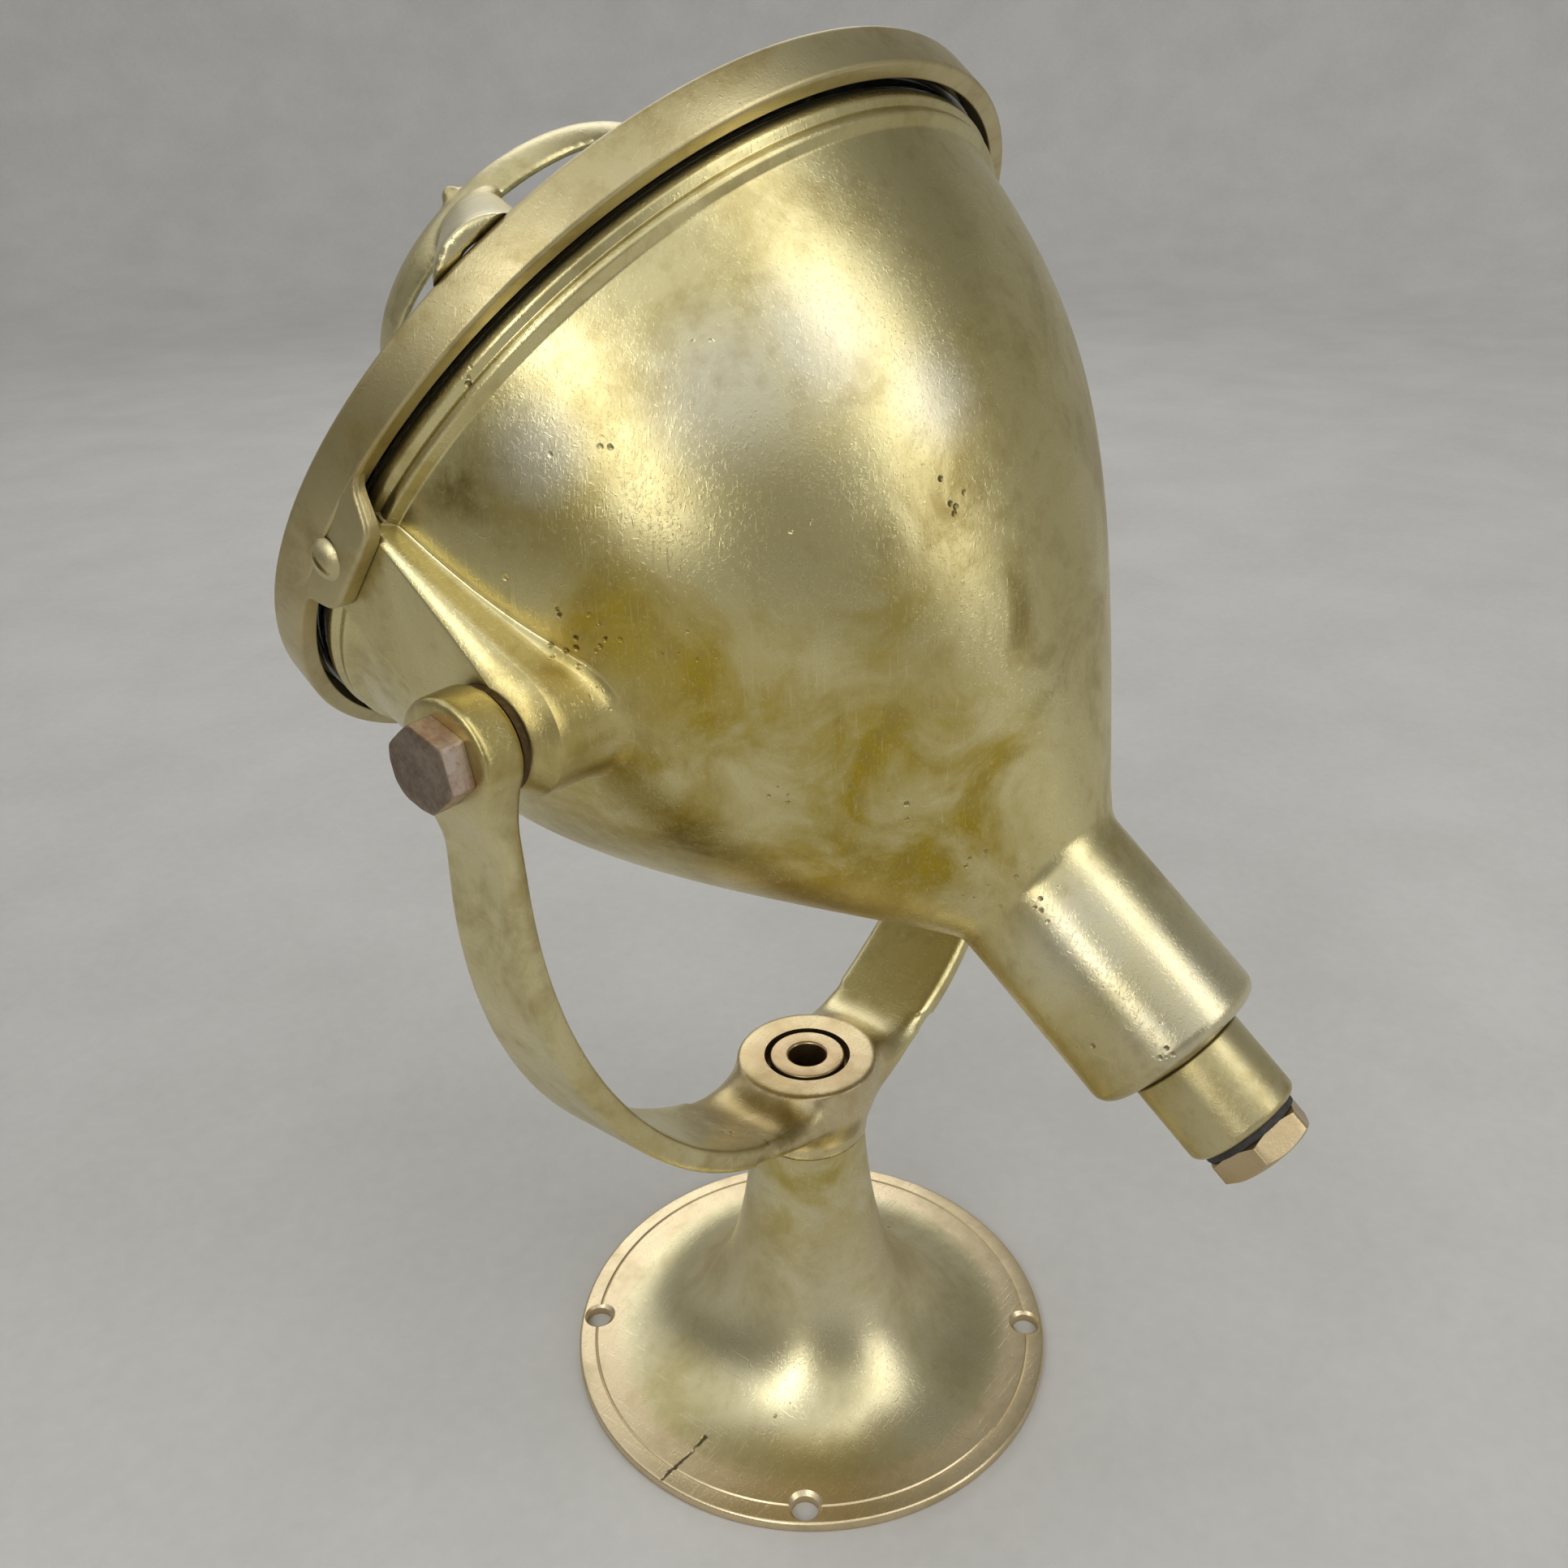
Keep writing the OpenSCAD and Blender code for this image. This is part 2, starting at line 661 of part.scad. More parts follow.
// Section of the hoop in radius and rise: a sloping band, flat inside and round outside
module hoop_section() {
    round_r = (hoop_w * hoop_w / 4 + hoop_swell * hoop_swell) / (2 * hoop_swell);
    half = asin(hoop_w / 2 / round_r);
    translate([hoop_r, guard_rise]) rotate(90 - hoop_slope)
        polygon(concat([[-hoop_edge, hoop_w], [-hoop_edge, 0]],
                       arc([hoop_swell - round_r, hoop_w / 2], round_r, -half, half)));
}

// Leg laid flat along +X from the hoop to the ring: two prongs under a round arch
module leg_outline() {
    tip = leg_l + leg_t;
    top = fork_w_top / 2;
    foot = fork_w_foot / 2;
    arch_r = top - prong_w;
    arch_x = leg_sink + fork_gap + arch_r;
    fillet_x = leg_sink + leg_fillet;
    difference() {
        polygon(concat(
            [[0, -top - leg_fillet / 2], [0, top + leg_fillet / 2]],
            arc([fillet_x, top + leg_fillet], leg_fillet, 180, 270),
            [[tip, foot], [tip, -foot]],
            arc([fillet_x, -top - leg_fillet], leg_fillet, 90, 180)));
        translate([arch_x, 0]) circle(r = arch_r);
        polygon([[arch_x, -arch_r], [tip + over, prong_w - foot], [tip + over, foot - prong_w],
                 [arch_x, arch_r]]);
    }
}

// Hoop ahead of the glass on forked legs that stand on the front ring
module guard() {
    stud_s = guard_rise + hoop_w * sin(hoop_slope);
    color(polished) head_place() translate([0, 0, ring_front]) intersection() {
        union() {
            rotate_extrude() hoop_section();
            for (i = [0 : leg_count - 1]) rotate(i * 360 / leg_count - leg_turn) {
                translate([leg_top_r, 0, leg_top_s]) rotate([0, leg_slope, 0])
                    linear_extrude(leg_t, center = true) leg_outline();
                translate([hoop_r - hoop_w * cos(hoop_slope) + hoop_swell, 0, stud_s - hoop_swell / 2])
                    sphere(r = stud_d / 2);
            }
        }
        rod(huge, 0, huge);
    }
}

module lens_glass() {
    color("#d8e4e0", 0.4) head_place() rod(glass_r, glass_back, glass_front);
}

module front_gasket() {
    color(dark) head_place() tube(glass_r - slip, glass_r - gasket_w, glass_front, lip_back);
}

module rear_gasket() {
    color(dark) head_place() tube(glass_r - gasket_w / 2, glass_r - gasket_w, flange_s, glass_back);
}

module reflector() {
    span = [for (i = [0 : steps]) reflector_hole_r + (mouth_r - reflector_hole_r) * i / steps];
    color("silver") head_place() rotate_extrude() polygon(concat(
        [for (r = span) [r, dish_s(r)]],
        [[mouth_r, flange_s], [bead_r - bead_edge, flange_s], [bead_r - bead_edge, rim_s],
         [mouth_r + reflector_wall, rim_s]],
        [for (i = [steps - 1 : -1 : 0]) let (r = span[i], d = [2 * focal, r] / norm([2 * focal, r]))
            [r + reflector_wall * d.y, dish_s(r) - reflector_wall * d.x]]));
}

module lamp_globe() {
    low = asin(lamp_neck_r / globe_r);
    waist_s = globe_s - globe_r * cos(low);
    inner = globe_r - lamp_wall;
    inner_low = asin((lamp_neck_r - lamp_wall) / inner);
    color("#f3efe0", 0.5) head_place() rotate_extrude() polygon(concat(
        [[lamp_neck_r, cap_front], [lamp_neck_r, waist_s]],
        [for (a = [low - 90 : (180 - low) / steps : 90]) [globe_r * cos(a), globe_s + globe_r * sin(a)]],
        [[0, globe_s + globe_r], [0, globe_s + inner]],
        [for (i = [0 : steps]) let (a = 90 - (180 - inner_low) * i / steps)
            [max(inner * cos(a), 0), globe_s + inner * sin(a)]],
        [[lamp_neck_r - lamp_wall, cap_front]]));
}

module lamp_cap() {
    color(polished) head_place() rotate_extrude() polygon([
        [0, cap_back], [cap_tip_r, cap_back], [cap_r - cap_cone_w, cap_back + cap_cone_h],
        [cap_r, cap_back + cap_skirt_h],
        [cap_r, cap_front], [0, cap_front]]);
}

module lamp_filament() {
    color(steel) head_place() {
        for (side = [-1, 1]) translate([side * filament_span, 0, 0]) rod(filament_r, cap_front, globe_s);
        translate([-filament_span, 0, globe_s]) rotate([0, 90, 0]) rod(filament_r * 2, 0, 2 * filament_span);
    }
}

module socket_shell() {
    color(polished) head_place()
        tube(shell_r, shell_r - shell_wall, socket_floor, holder_front - shell_wall);
}

module socket_contact() {
    color(polished) head_place() rod(contact_r, socket_floor, socket_floor + contact_t);
}

module lamp_holder() {
    color("ivory") head_place() difference() {
        rod(holder_r, seat_s, holder_front);
        rod(shell_r + run, socket_floor, holder_front + over);
        for (i = [0, 1]) rotate(90 + i * 180) translate([holder_screw_pcr, 0, 0])
            rod(holder_screw_r + run, seat_s - over, holder_front + over);
    }
}

module holder_screws() {
    color(steel) head_place() for (i = [0, 1]) rotate(90 + i * 180) translate([holder_screw_pcr, 0, 0]) {
        rod(holder_screw_r, seat_s - holder_screw_bite, holder_front);
        rod(holder_screw_head_r, holder_front, holder_front + holder_screw_r);
    }
}

module terminal_screws() {
    color(polished) head_place() for (side = [-1, 1])
        translate([side * seat_bore_r / 2, 0, 0]) rod(terminal_r, seat_s - terminal_l, seat_s);
}

module gland_washer() {
    color(dark) head_place() tube(gland_r - gland_round, spigot_r + slip, -gland_top, -tail_s);
}

module gland_body() {
    color(brass) head_place() difference() {
        union() {
            rod(spigot_r, -tail_s + tail_end_t, -gland_top);
            rotate_extrude() polygon(concat([[0, -gland_top], [gland_r, -gland_top]],
                arc([gland_r - gland_round, gland_round - gland_end], gland_round, 0, -90),
                [[0, -gland_end]]));
        }
        rod(gland_bore_r, -gland_end - over, tail_end_t - tail_s + over);
        rod(nut_spigot_r + run, -gland_end - over, nut_spigot_l + grommet_l - gland_end);
    }
}

module gland_grommet() {
    top = nut_spigot_l + grommet_l - gland_end;
    color(dark) head_place() tube(grommet_r - run, grommet_bore_r, top - grommet_l, top);
}

module gland_ring() {
    color(dark) head_place() tube(gland_ring_d / 2, nut_spigot_r + slip, -ring_end, -gland_end);
}

module gland_nut() {
    color(polished) head_place() difference() {
        union() {
            hexagon(gland_nut_af, -nut_end, -ring_end);
            rod(nut_spigot_r, -ring_end, nut_spigot_l - gland_end);
        }
        rod(entry_r, -nut_end - over, nut_spigot_l - gland_end + over);
    }
}

pedestal();
pivot_bolt();
pivot_washer();
pivot_nut();
yoke();
bell_housing();
trunnion_bolt_left();
trunnion_bolt_right();
friction_washer_left();
friction_washer_right();
front_ring();
ring_screws();
guard();
lens_glass();
front_gasket();
rear_gasket();
reflector();
lamp_globe();
lamp_cap();
lamp_filament();
socket_shell();
socket_contact();
lamp_holder();
holder_screws();
terminal_screws();
gland_washer();
gland_body();
gland_grommet();
gland_ring();
gland_nut();
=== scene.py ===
import math

import bmesh
import bpy
from mathutils import Matrix, Vector


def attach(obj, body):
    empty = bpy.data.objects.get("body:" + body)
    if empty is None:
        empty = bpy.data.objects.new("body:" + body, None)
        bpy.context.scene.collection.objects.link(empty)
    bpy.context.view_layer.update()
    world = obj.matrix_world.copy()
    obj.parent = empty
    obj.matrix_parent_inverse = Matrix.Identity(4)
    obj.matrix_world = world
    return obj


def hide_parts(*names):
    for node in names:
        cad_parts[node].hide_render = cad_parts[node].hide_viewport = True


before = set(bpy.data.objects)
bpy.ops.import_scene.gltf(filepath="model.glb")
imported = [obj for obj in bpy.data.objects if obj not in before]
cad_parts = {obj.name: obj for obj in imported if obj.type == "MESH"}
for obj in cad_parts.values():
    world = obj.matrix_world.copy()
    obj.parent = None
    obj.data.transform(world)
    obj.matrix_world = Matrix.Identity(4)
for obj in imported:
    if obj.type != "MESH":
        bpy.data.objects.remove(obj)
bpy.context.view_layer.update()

print("frame loaded:", len(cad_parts), "nodes")


def turnBy(degrees, axis):
    return Matrix.Rotation(math.radians(degrees), 4, axis)


def moveBy(x, y, z):
    return Matrix.Translation((x, y, z))


# the pieces are drawn in millimetres and set down in metres; floor, lights and camera are in metres
toMetres = Matrix.Scale(0.001, 4)
headTilt = 38.7  # rest elevation of the mouth, as in the frame
trunnionHeight = 264.8
headPlace = toMetres @ moveBy(0, 0, trunnionHeight) @ turnBy(headTilt - 90, "X")


def arcPoints(cx, cy, radius, start, end, count):
    points = []
    for i in range(count + 1):
        a = math.radians(start + (end - start) * i / count)
        points.append((cx + radius * math.cos(a), cy + radius * math.sin(a)))
    return points


def bezierPoints(p0, p1, p2, p3, count):
    points = []
    for i in range(count + 1):
        t = i / count
        w = ((1 - t) ** 3, 3 * (1 - t) ** 2 * t, 3 * (1 - t) * t * t, t ** 3)
        points.append(tuple(sum(k * p[axis] for k, p in zip(w, (p0, p1, p2, p3))) for axis in (0, 1)))
    return points


def roundedLine(corners, closed=False, count=5):
    # corners are (x, y, radius); a radius of 0 keeps the corner
    points = []
    total = len(corners)
    for i, (x, y, radius) in enumerate(corners):
        here = Vector((x, y))
        if radius <= 0 or (not closed and i in (0, total - 1)):
            points.append((x, y))
            continue
        back = Vector(corners[i - 1][:2]) - here
        ahead = Vector(corners[(i + 1) % total][:2]) - here
        half = back.angle(ahead) / 2
        reach = min(radius / math.tan(half), back.length * 0.49, ahead.length * 0.49)
        radius = reach * math.tan(half)
        middle = here + (back.normalized() + ahead.normalized()).normalized() * (radius / math.sin(half))
        a = here + back.normalized() * reach - middle
        b = here + ahead.normalized() * reach - middle
        for k in range(count + 1):
            turn = a.lerp(b, k / count)
            p = middle + turn.normalized() * radius
            points.append((p.x, p.y))
    return points


def spinProfile(bm, profile, segments, closed=True):
    # profile is (radius, height) points, turned round Z
    verts = [bm.verts.new((r, 0, z)) for r, z in profile]
    pairs = list(zip(verts, verts[1:]))
    if closed:
        pairs.append((verts[-1], verts[0]))
    edges = [bm.edges.new(pair) for pair in pairs]
    bmesh.ops.spin(bm, geom=verts + edges, cent=(0, 0, 0), axis=(0, 0, 1), dvec=(0, 0, 0),
                   angle=2 * math.pi, steps=segments, use_merge=True)


def sweepRings(bm, rings):
    # the first ring is drawn and capped, then extruded from ring to ring up to the end cap
    verts = [bm.verts.new(p) for p in rings[0]]
    loop = [bm.edges.new(pair) for pair in zip(verts, verts[1:] + verts[:1])]
    bmesh.ops.contextual_create(bm, geom=loop)
    for ring in rings[1:]:
        order = {tuple(v.co): i for i, v in enumerate(verts)}
        grown = bmesh.ops.extrude_edge_only(bm, edges=loop)["geom"]
        fresh = [g for g in grown if isinstance(g, bmesh.types.BMVert)]
        fresh.sort(key=lambda v: order[tuple(v.co)])
        isFresh = set(fresh)
        loop = [g for g in grown if isinstance(g, bmesh.types.BMEdge) and isFresh.issuperset(g.verts)]
        for v, p in zip(fresh, ring):
            v.co = p
        verts = fresh
    bmesh.ops.contextual_create(bm, geom=loop)


def cleanMesh(bm):
    bmesh.ops.remove_doubles(bm, verts=bm.verts, dist=0.004)
    bmesh.ops.recalc_face_normals(bm, faces=bm.faces)


def looseObject(bm, name):
    mesh = bpy.data.meshes.new(name)
    bm.to_mesh(mesh)
    bm.free()
    obj = bpy.data.objects.new(name, mesh)
    bpy.context.scene.collection.objects.link(obj)
    return obj


def turned(name, profile, segments, closed=True):
    bm = bmesh.new()
    spinProfile(bm, profile, segments, closed)
    cleanMesh(bm)
    return looseObject(bm, name)


def pour(target, source):
    # adds one bmesh to another
    part = bpy.data.meshes.new("part")
    source.to_mesh(part)
    source.free()
    target.from_mesh(part)
    bpy.data.meshes.remove(part)


def hexPrism(name, flats, base, height, turn, edge):
    bm = bmesh.new()
    bmesh.ops.create_circle(bm, cap_ends=True, segments=6, radius=flats / 2 / math.cos(math.radians(30)),
                            matrix=moveBy(0, 0, base) @ turnBy(turn, "Z"))
    grown = bmesh.ops.extrude_face_region(bm, geom=bm.faces[:])["geom"]
    bmesh.ops.translate(bm, vec=(0, 0, height), verts=[g for g in grown if isinstance(g, bmesh.types.BMVert)])
    cleanMesh(bm)
    upright = [e for e in bm.edges if abs(e.verts[0].co.z - e.verts[1].co.z) > 1]
    bmesh.ops.bevel(bm, geom=upright, offset=edge, affect="EDGES", segments=3, profile=0.5, material=-1)
    return looseObject(bm, name)


def addTurned(obj, profile, segments, closed=True):
    bm = bmesh.new()
    bm.from_mesh(obj.data)
    spinProfile(bm, profile, segments, closed)
    cleanMesh(bm)
    bm.to_mesh(obj.data)
    bm.free()


def soften(obj, rounds, chosen=lambda point: True):
    bm = bmesh.new()
    bm.from_mesh(obj.data)
    verts = [v for v in bm.verts if chosen(v.co)]
    for _ in range(rounds):
        bmesh.ops.smooth_vert(bm, verts=verts, factor=0.5, use_axis_x=True, use_axis_y=True, use_axis_z=True)
    bm.to_mesh(obj.data)
    bm.free()


def applyModifiers(obj):
    graph = bpy.context.evaluated_depsgraph_get()
    mesh = bpy.data.meshes.new_from_object(obj.evaluated_get(graph))
    old = obj.data
    obj.modifiers.clear()
    obj.data = mesh
    bpy.data.meshes.remove(old)


def carve(obj, cutter, operation="DIFFERENCE"):
    step = obj.modifiers.new("carve", "BOOLEAN")
    step.operation = operation
    step.solver = "EXACT"
    step.object = cutter
    applyModifiers(obj)
    bpy.data.objects.remove(cutter)


def fuse(obj, voxel, rounds):
    # melts overlapping lumps into one casting and softens its corners
    step = obj.modifiers.new("fuse", "REMESH")
    step.mode = "VOXEL"
    step.voxel_size = voxel
    applyModifiers(obj)
    soften(obj, rounds)


def settle(obj, place, material, body, nodes, sharp=38):
    obj.data.transform(place)
    for face in obj.data.polygons:
        face.use_smooth = True
    obj.data.set_sharp_from_angle(angle=math.radians(sharp))
    obj.data.materials.clear()
    obj.data.materials.append(material)
    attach(obj, body)
    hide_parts(*nodes)
    return obj


# materials


def addNode(tree, kind, sockets=None, **settings):
    node = tree.nodes.new(kind)
    for key, value in settings.items():
        setattr(node, key, value)
    for key, value in (sockets or {}).items():
        if isinstance(value, bpy.types.NodeSocket):
            tree.links.new(value, node.inputs[key])
        else:
            node.inputs[key].default_value = value
    return node


def startMaterial(name, metallic, roughness):
    material = bpy.data.materials.new(name)
    material.use_nodes = True
    tree = material.node_tree
    shader = tree.nodes["Principled BSDF"]
    shader.inputs["Metallic"].default_value = metallic
    shader.inputs["Roughness"].default_value = roughness
    coords = addNode(tree, "ShaderNodeTexCoord").outputs["Object"]
    return material, tree, shader, coords


def noiseOf(tree, coords, scale, detail, rough, distortion=0.0, stretch=None, turn=(0, 0, 0)):
    vector = coords
    if stretch:
        vector = addNode(tree, "ShaderNodeMapping",
                         {"Vector": coords, "Rotation": turn, "Scale": stretch}).outputs[0]
    return addNode(tree, "ShaderNodeTexNoise", {"Vector": vector, "Scale": scale, "Detail": detail,
                                                "Roughness": rough, "Distortion": distortion}).outputs["Fac"]


def rangeOf(tree, value, fromLow, fromHigh, toLow=0.0, toHigh=1.0):
    return addNode(tree, "ShaderNodeMapRange", {"Value": value, "From Min": fromLow, "From Max": fromHigh,
                                                "To Min": toLow, "To Max": toHigh}).outputs[0]


def mathOf(tree, operation, a, b, clamp=False):
    return addNode(tree, "ShaderNodeMath", {0: a, 1: b}, operation=operation, use_clamp=clamp).outputs[0]


def weighOf(tree, a, share, b):
    return mathOf(tree, "ADD", mathOf(tree, "MULTIPLY", a, share), mathOf(tree, "MULTIPLY", b, 1 - share))


def vectorOf(tree, operation, out, *values):
    return addNode(tree, "ShaderNodeVectorMath", dict(enumerate(values)), operation=operation).outputs[out]


def blendOf(tree, amount, a, b):
    return addNode(tree, "ShaderNodeMix", {0: amount, 6: a, 7: b}, data_type="RGBA").outputs[2]


def colour(r, g, b):
    return (r, g, b, 1.0)


def spotMask(tree, coords, spots):
    # soft round patches at points of the piece: (x, y, z, radius) in millimetres
    total = None
    for x, y, z, radius in spots:
        away = vectorOf(tree, "DISTANCE", "Value", coords, (x * 0.001, y * 0.001, z * 0.001))
        near = rangeOf(tree, away, radius * 0.001, radius * 0.0003)
        total = near if total is None else mathOf(tree, "MAXIMUM", total, near)
    return total


def scratchMask(tree, coords, lines):
    # thin dark cracks between two points of the piece: (start, end, width) in millimetres
    total = None
    for start, end, width in lines:
        a, b = Vector(start) * 0.001, Vector(end) * 0.001
        along = (b - a) / (b - a).length_squared
        wander = addNode(tree, "ShaderNodeTexNoise",
                         {"Vector": coords, "Scale": 260.0, "Detail": 2.0}).outputs["Color"]
        shift = vectorOf(tree, "MULTIPLY_ADD", "Vector", wander, (0.0022,) * 3, (-0.0011,) * 3)
        here = vectorOf(tree, "ADD", "Vector", coords, shift)
        arm = vectorOf(tree, "SUBTRACT", "Vector", here, tuple(a))
        part = vectorOf(tree, "DOT_PRODUCT", "Value", arm, tuple(along))
        part = mathOf(tree, "MULTIPLY", part, 1.0, True)
        near = addNode(tree, "ShaderNodeVectorMath", {0: tuple(b - a), "Scale": part},
                       operation="SCALE").outputs["Vector"]
        away = vectorOf(tree, "DISTANCE", "Value", arm, near)
        line = rangeOf(tree, away, width * 0.001, width * 0.0004)
        total = line if total is None else mathOf(tree, "MAXIMUM", total, line)
    return total


def brassMaterial(name, look):
    material, tree, shader, coords = startMaterial(name, 1.0, look["rough"])
    broad = noiseOf(tree, coords, 11, 3, 0.5, 0.8)
    cloud = noiseOf(tree, coords, 38, 6, 0.62, 0.6)
    speck = noiseOf(tree, coords, 240, 4, 0.6)
    tone = weighOf(tree, broad, 0.55, cloud)
    brass = blendOf(tree, rangeOf(tree, tone, 0.38, 0.64), look["pale"], look["mid"])
    brass = blendOf(tree, rangeOf(tree, broad, 0.56, 0.70, 0.0, look["mellow"]), brass, look["gold"])
    for tint in ("blush", "gold", "dark"):
        if look.get(tint + "Spots"):
            patch = mathOf(tree, "MULTIPLY", spotMask(tree, coords, look[tint + "Spots"]),
                           rangeOf(tree, cloud, *look["breakUp"][tint]))
            brass = blendOf(tree, patch, brass, look[tint])
    if look.get("blushBelow"):
        height = addNode(tree, "ShaderNodeSeparateXYZ", {0: coords}).outputs["Z"]
        band = rangeOf(tree, height, look["blushBelow"] * 0.001, look["blushBelow"] * 0.0009, 0.0, 0.8)
        brass = blendOf(tree, band, brass, look["blush"])
    stain = rangeOf(tree, weighOf(tree, cloud, 0.65, speck), 0.50, 0.64)
    brass = blendOf(tree, mathOf(tree, "MULTIPLY", stain, look["tarnish"]), brass, look["stain"])
    # fine grain, polishing strokes and casting pits
    grain = noiseOf(tree, coords, 1500, 2, 0.5)
    rub = None
    for stretch, turn in (((70, 2000, 900), (0.4, 0.2, 0.9)), ((1700, 64, 1100), (0.9, 0.5, 0.3)),
                          ((1200, 1500, 60), (0.2, 0.7, 0.5))):
        stroke = rangeOf(tree, noiseOf(tree, coords, 1, 3, 0.62, 0.0, stretch, turn), 0.59, 0.76)
        rub = stroke if rub is None else mathOf(tree, "MAXIMUM", rub, stroke)
    cells = addNode(tree, "ShaderNodeTexVoronoi", {"Vector": coords, "Scale": look["pitScale"], "Randomness": 1.0})
    hollow = rangeOf(tree, cells.outputs["Distance"], 0.26, 0.10)
    cluster = rangeOf(tree, noiseOf(tree, coords, 34, 3, 0.6), look["pitFrom"], look["pitFrom"] + 0.08)
    if look.get("pitSpots"):
        cluster = mathOf(tree, "MAXIMUM", cluster,
                         mathOf(tree, "MULTIPLY", spotMask(tree, coords, look["pitSpots"]),
                                rangeOf(tree, speck, 0.46, 0.54)))
    pits = mathOf(tree, "MULTIPLY", hollow, cluster)
    if look.get("cracks"):
        pits = mathOf(tree, "MAXIMUM", pits, scratchMask(tree, coords, look["cracks"]))
    brass = blendOf(tree, mathOf(tree, "MULTIPLY", rub, look["rub"]), brass, look["pale"])
    brass = blendOf(tree, mathOf(tree, "MULTIPLY", pits, 0.9), brass, look["pit"])
    # painted shade: ambient occlusion darkens crevices, creases and gaps between parts towards the pit colour, and
    # roughens them
    shade = addNode(tree, "ShaderNodeAmbientOcclusion", {"Distance": 0.006}, samples=6).outputs["AO"]
    creviceShade = mathOf(tree, "MULTIPLY", rangeOf(tree, shade, 0.62, 0.22), look["creviceShade"], True)
    brass = blendOf(tree, creviceShade, brass, look["pit"])
    tree.links.new(brass, shader.inputs["Base Color"])
    rough = mathOf(tree, "ADD", rangeOf(tree, cloud, 0.3, 0.7, look["rough"] - 0.03, look["rough"] + 0.06),
                   mathOf(tree, "MULTIPLY", mathOf(tree, "ADD", pits, creviceShade), 0.22))
    rough = mathOf(tree, "ADD", rough, mathOf(tree, "MULTIPLY", rub, -0.07))
    tree.links.new(rough, shader.inputs["Roughness"])
    fine = addNode(tree, "ShaderNodeBump", {"Strength": look["grain"], "Distance": 0.0003, "Height": grain})
    scored = addNode(tree, "ShaderNodeBump", {"Strength": look["score"], "Distance": 0.0004, "Height": rub,
                                              "Normal": fine.outputs[0]})
    waves = addNode(tree, "ShaderNodeBump", {"Strength": look["wave"], "Distance": 0.004,
                                             "Height": noiseOf(tree, coords, 30, 2, 0.4),
                                             "Normal": scored.outputs[0]})
    pitted = addNode(tree, "ShaderNodeBump", {"Strength": 0.8, "Distance": 0.0009, "Height": pits,
                                              "Normal": waves.outputs[0]}, invert=True)
    tree.links.new(pitted.outputs[0], shader.inputs["Normal"])
    return material


bellBrass = {
    "pale": colour(0.74, 0.66, 0.355), "mid": colour(0.53, 0.44, 0.18), "gold": colour(0.46, 0.335, 0.03),
    "dark": colour(0.24, 0.175, 0.045), "stain": colour(0.33, 0.25, 0.09), "pit": colour(0.07, 0.045, 0.015),
    "blush": colour(0.70, 0.65, 0.47), "tarnish": 0.42, "mellow": 0.4, "rough": 0.29, "grain": 0.08, "wave": 0.03,
    # the 0.6 strength below sets how strongly crevices are darkened with painted shade
    "rub": 0.45, "score": 0.12, "creviceShade": 0.6, "pitScale": 330, "pitFrom": 0.64,
    "breakUp": {"blush": (0.34, 0.60, 0.6, 1.0), "gold": (0.38, 0.60, 0.12, 1.0), "dark": (0.44, 0.60, 0.0, 0.85)},
}
# patches of colour, wear and casting pits where the photographed bell has them
bellMarks = dict(
    bellBrass,
    goldSpots=((-88, -4, 261, 20), (-77, -15, 244, 32), (-72, -36, 271, 30), (-54, -54, 250, 38),
               (-38, -66, 228, 36), (-51, -58, 283, 17), (-86, -18, 285, 18), (-34, -71, 253, 26),
               (-55, -39, 225, 34)),
    darkSpots=((-90, -3, 265, 9), (-43, -58, 303, 9), (-30, -63, 307, 12), (-22, -72, 281, 12), (-61, -49, 276, 8),
               (-66, -20, 228, 13), (-96, 13, 313, 10), (-13, -78, 264, 10)),
    blushSpots=((-64, -32, 331, 20), (-89, -3, 320, 13), (-48, -40, 338, 18), (-28, -56, 327, 14),
                (-19, -97, 206, 24), (-8, -120, 194, 36)),
    pitSpots=((-90, -9, 286, 9), (-87, -15, 281, 8), (-86, -16, 274, 6), (-63, -41, 247, 7), (-60, -46, 307, 5),
              (-91, 13, 332, 8), (-78, -31, 282, 7), (-21, -82, 214, 9), (-28, -73, 220, 9), (-43, -62, 238, 7),
              (-94, 0, 292, 6)))
yokeBrass = dict(bellBrass, tarnish=0.4, mellow=0.15, pitFrom=0.67, pale=colour(0.75, 0.68, 0.42),
                 mid=colour(0.57, 0.48, 0.20), blush=colour(0.56, 0.40, 0.23), blushSpots=((0, 0, 120, 36),),
                 dark=colour(0.40, 0.29, 0.12), darkSpots=((-38, -4, 115, 30), (-30, -12, 112, 18)))
footBrass = dict(bellBrass, tarnish=0.25, mellow=0.15, pitFrom=0.69, pale=colour(0.76, 0.69, 0.45),
                 mid=colour(0.62, 0.54, 0.28), blush=colour(0.76, 0.61, 0.39), blushBelow=4.7,
                 gold=colour(0.50, 0.385, 0.06), goldSpots=((0, 0, 82, 40),),
                 pitSpots=((-41, -20, 11, 4), (-40, -25, 10, 4)),
                 cracks=(((-60, -3, 5.1), (-71, -2.5, 4.1), 0.7), ((-71, -2.5, 4.1), (-79, -1.4, 3.6), 0.8)))
ringBrass = dict(bellBrass, tarnish=0.55, mellow=0.7, pitFrom=0.67, rough=0.36, pale=colour(0.60, 0.52, 0.29),
                 mid=colour(0.44, 0.35, 0.15))
trimBrass = dict(bellBrass, tarnish=0.45, mellow=0.2, pitFrom=0.75, rough=0.36, pale=colour(0.64, 0.57, 0.34),
                 mid=colour(0.49, 0.41, 0.19))
nutBrass = dict(trimBrass, pale=colour(0.60, 0.48, 0.29), mid=colour(0.47, 0.35, 0.18))
bellFinish = brassMaterial("bell brass", bellMarks)
yokeFinish = brassMaterial("yoke brass", yokeBrass)
footFinish = brassMaterial("pedestal brass", footBrass)
ringFinish = brassMaterial("ring brass", ringBrass)
trimFinish = brassMaterial("turned brass", trimBrass)
nutFinish = brassMaterial("nut brass", nutBrass)


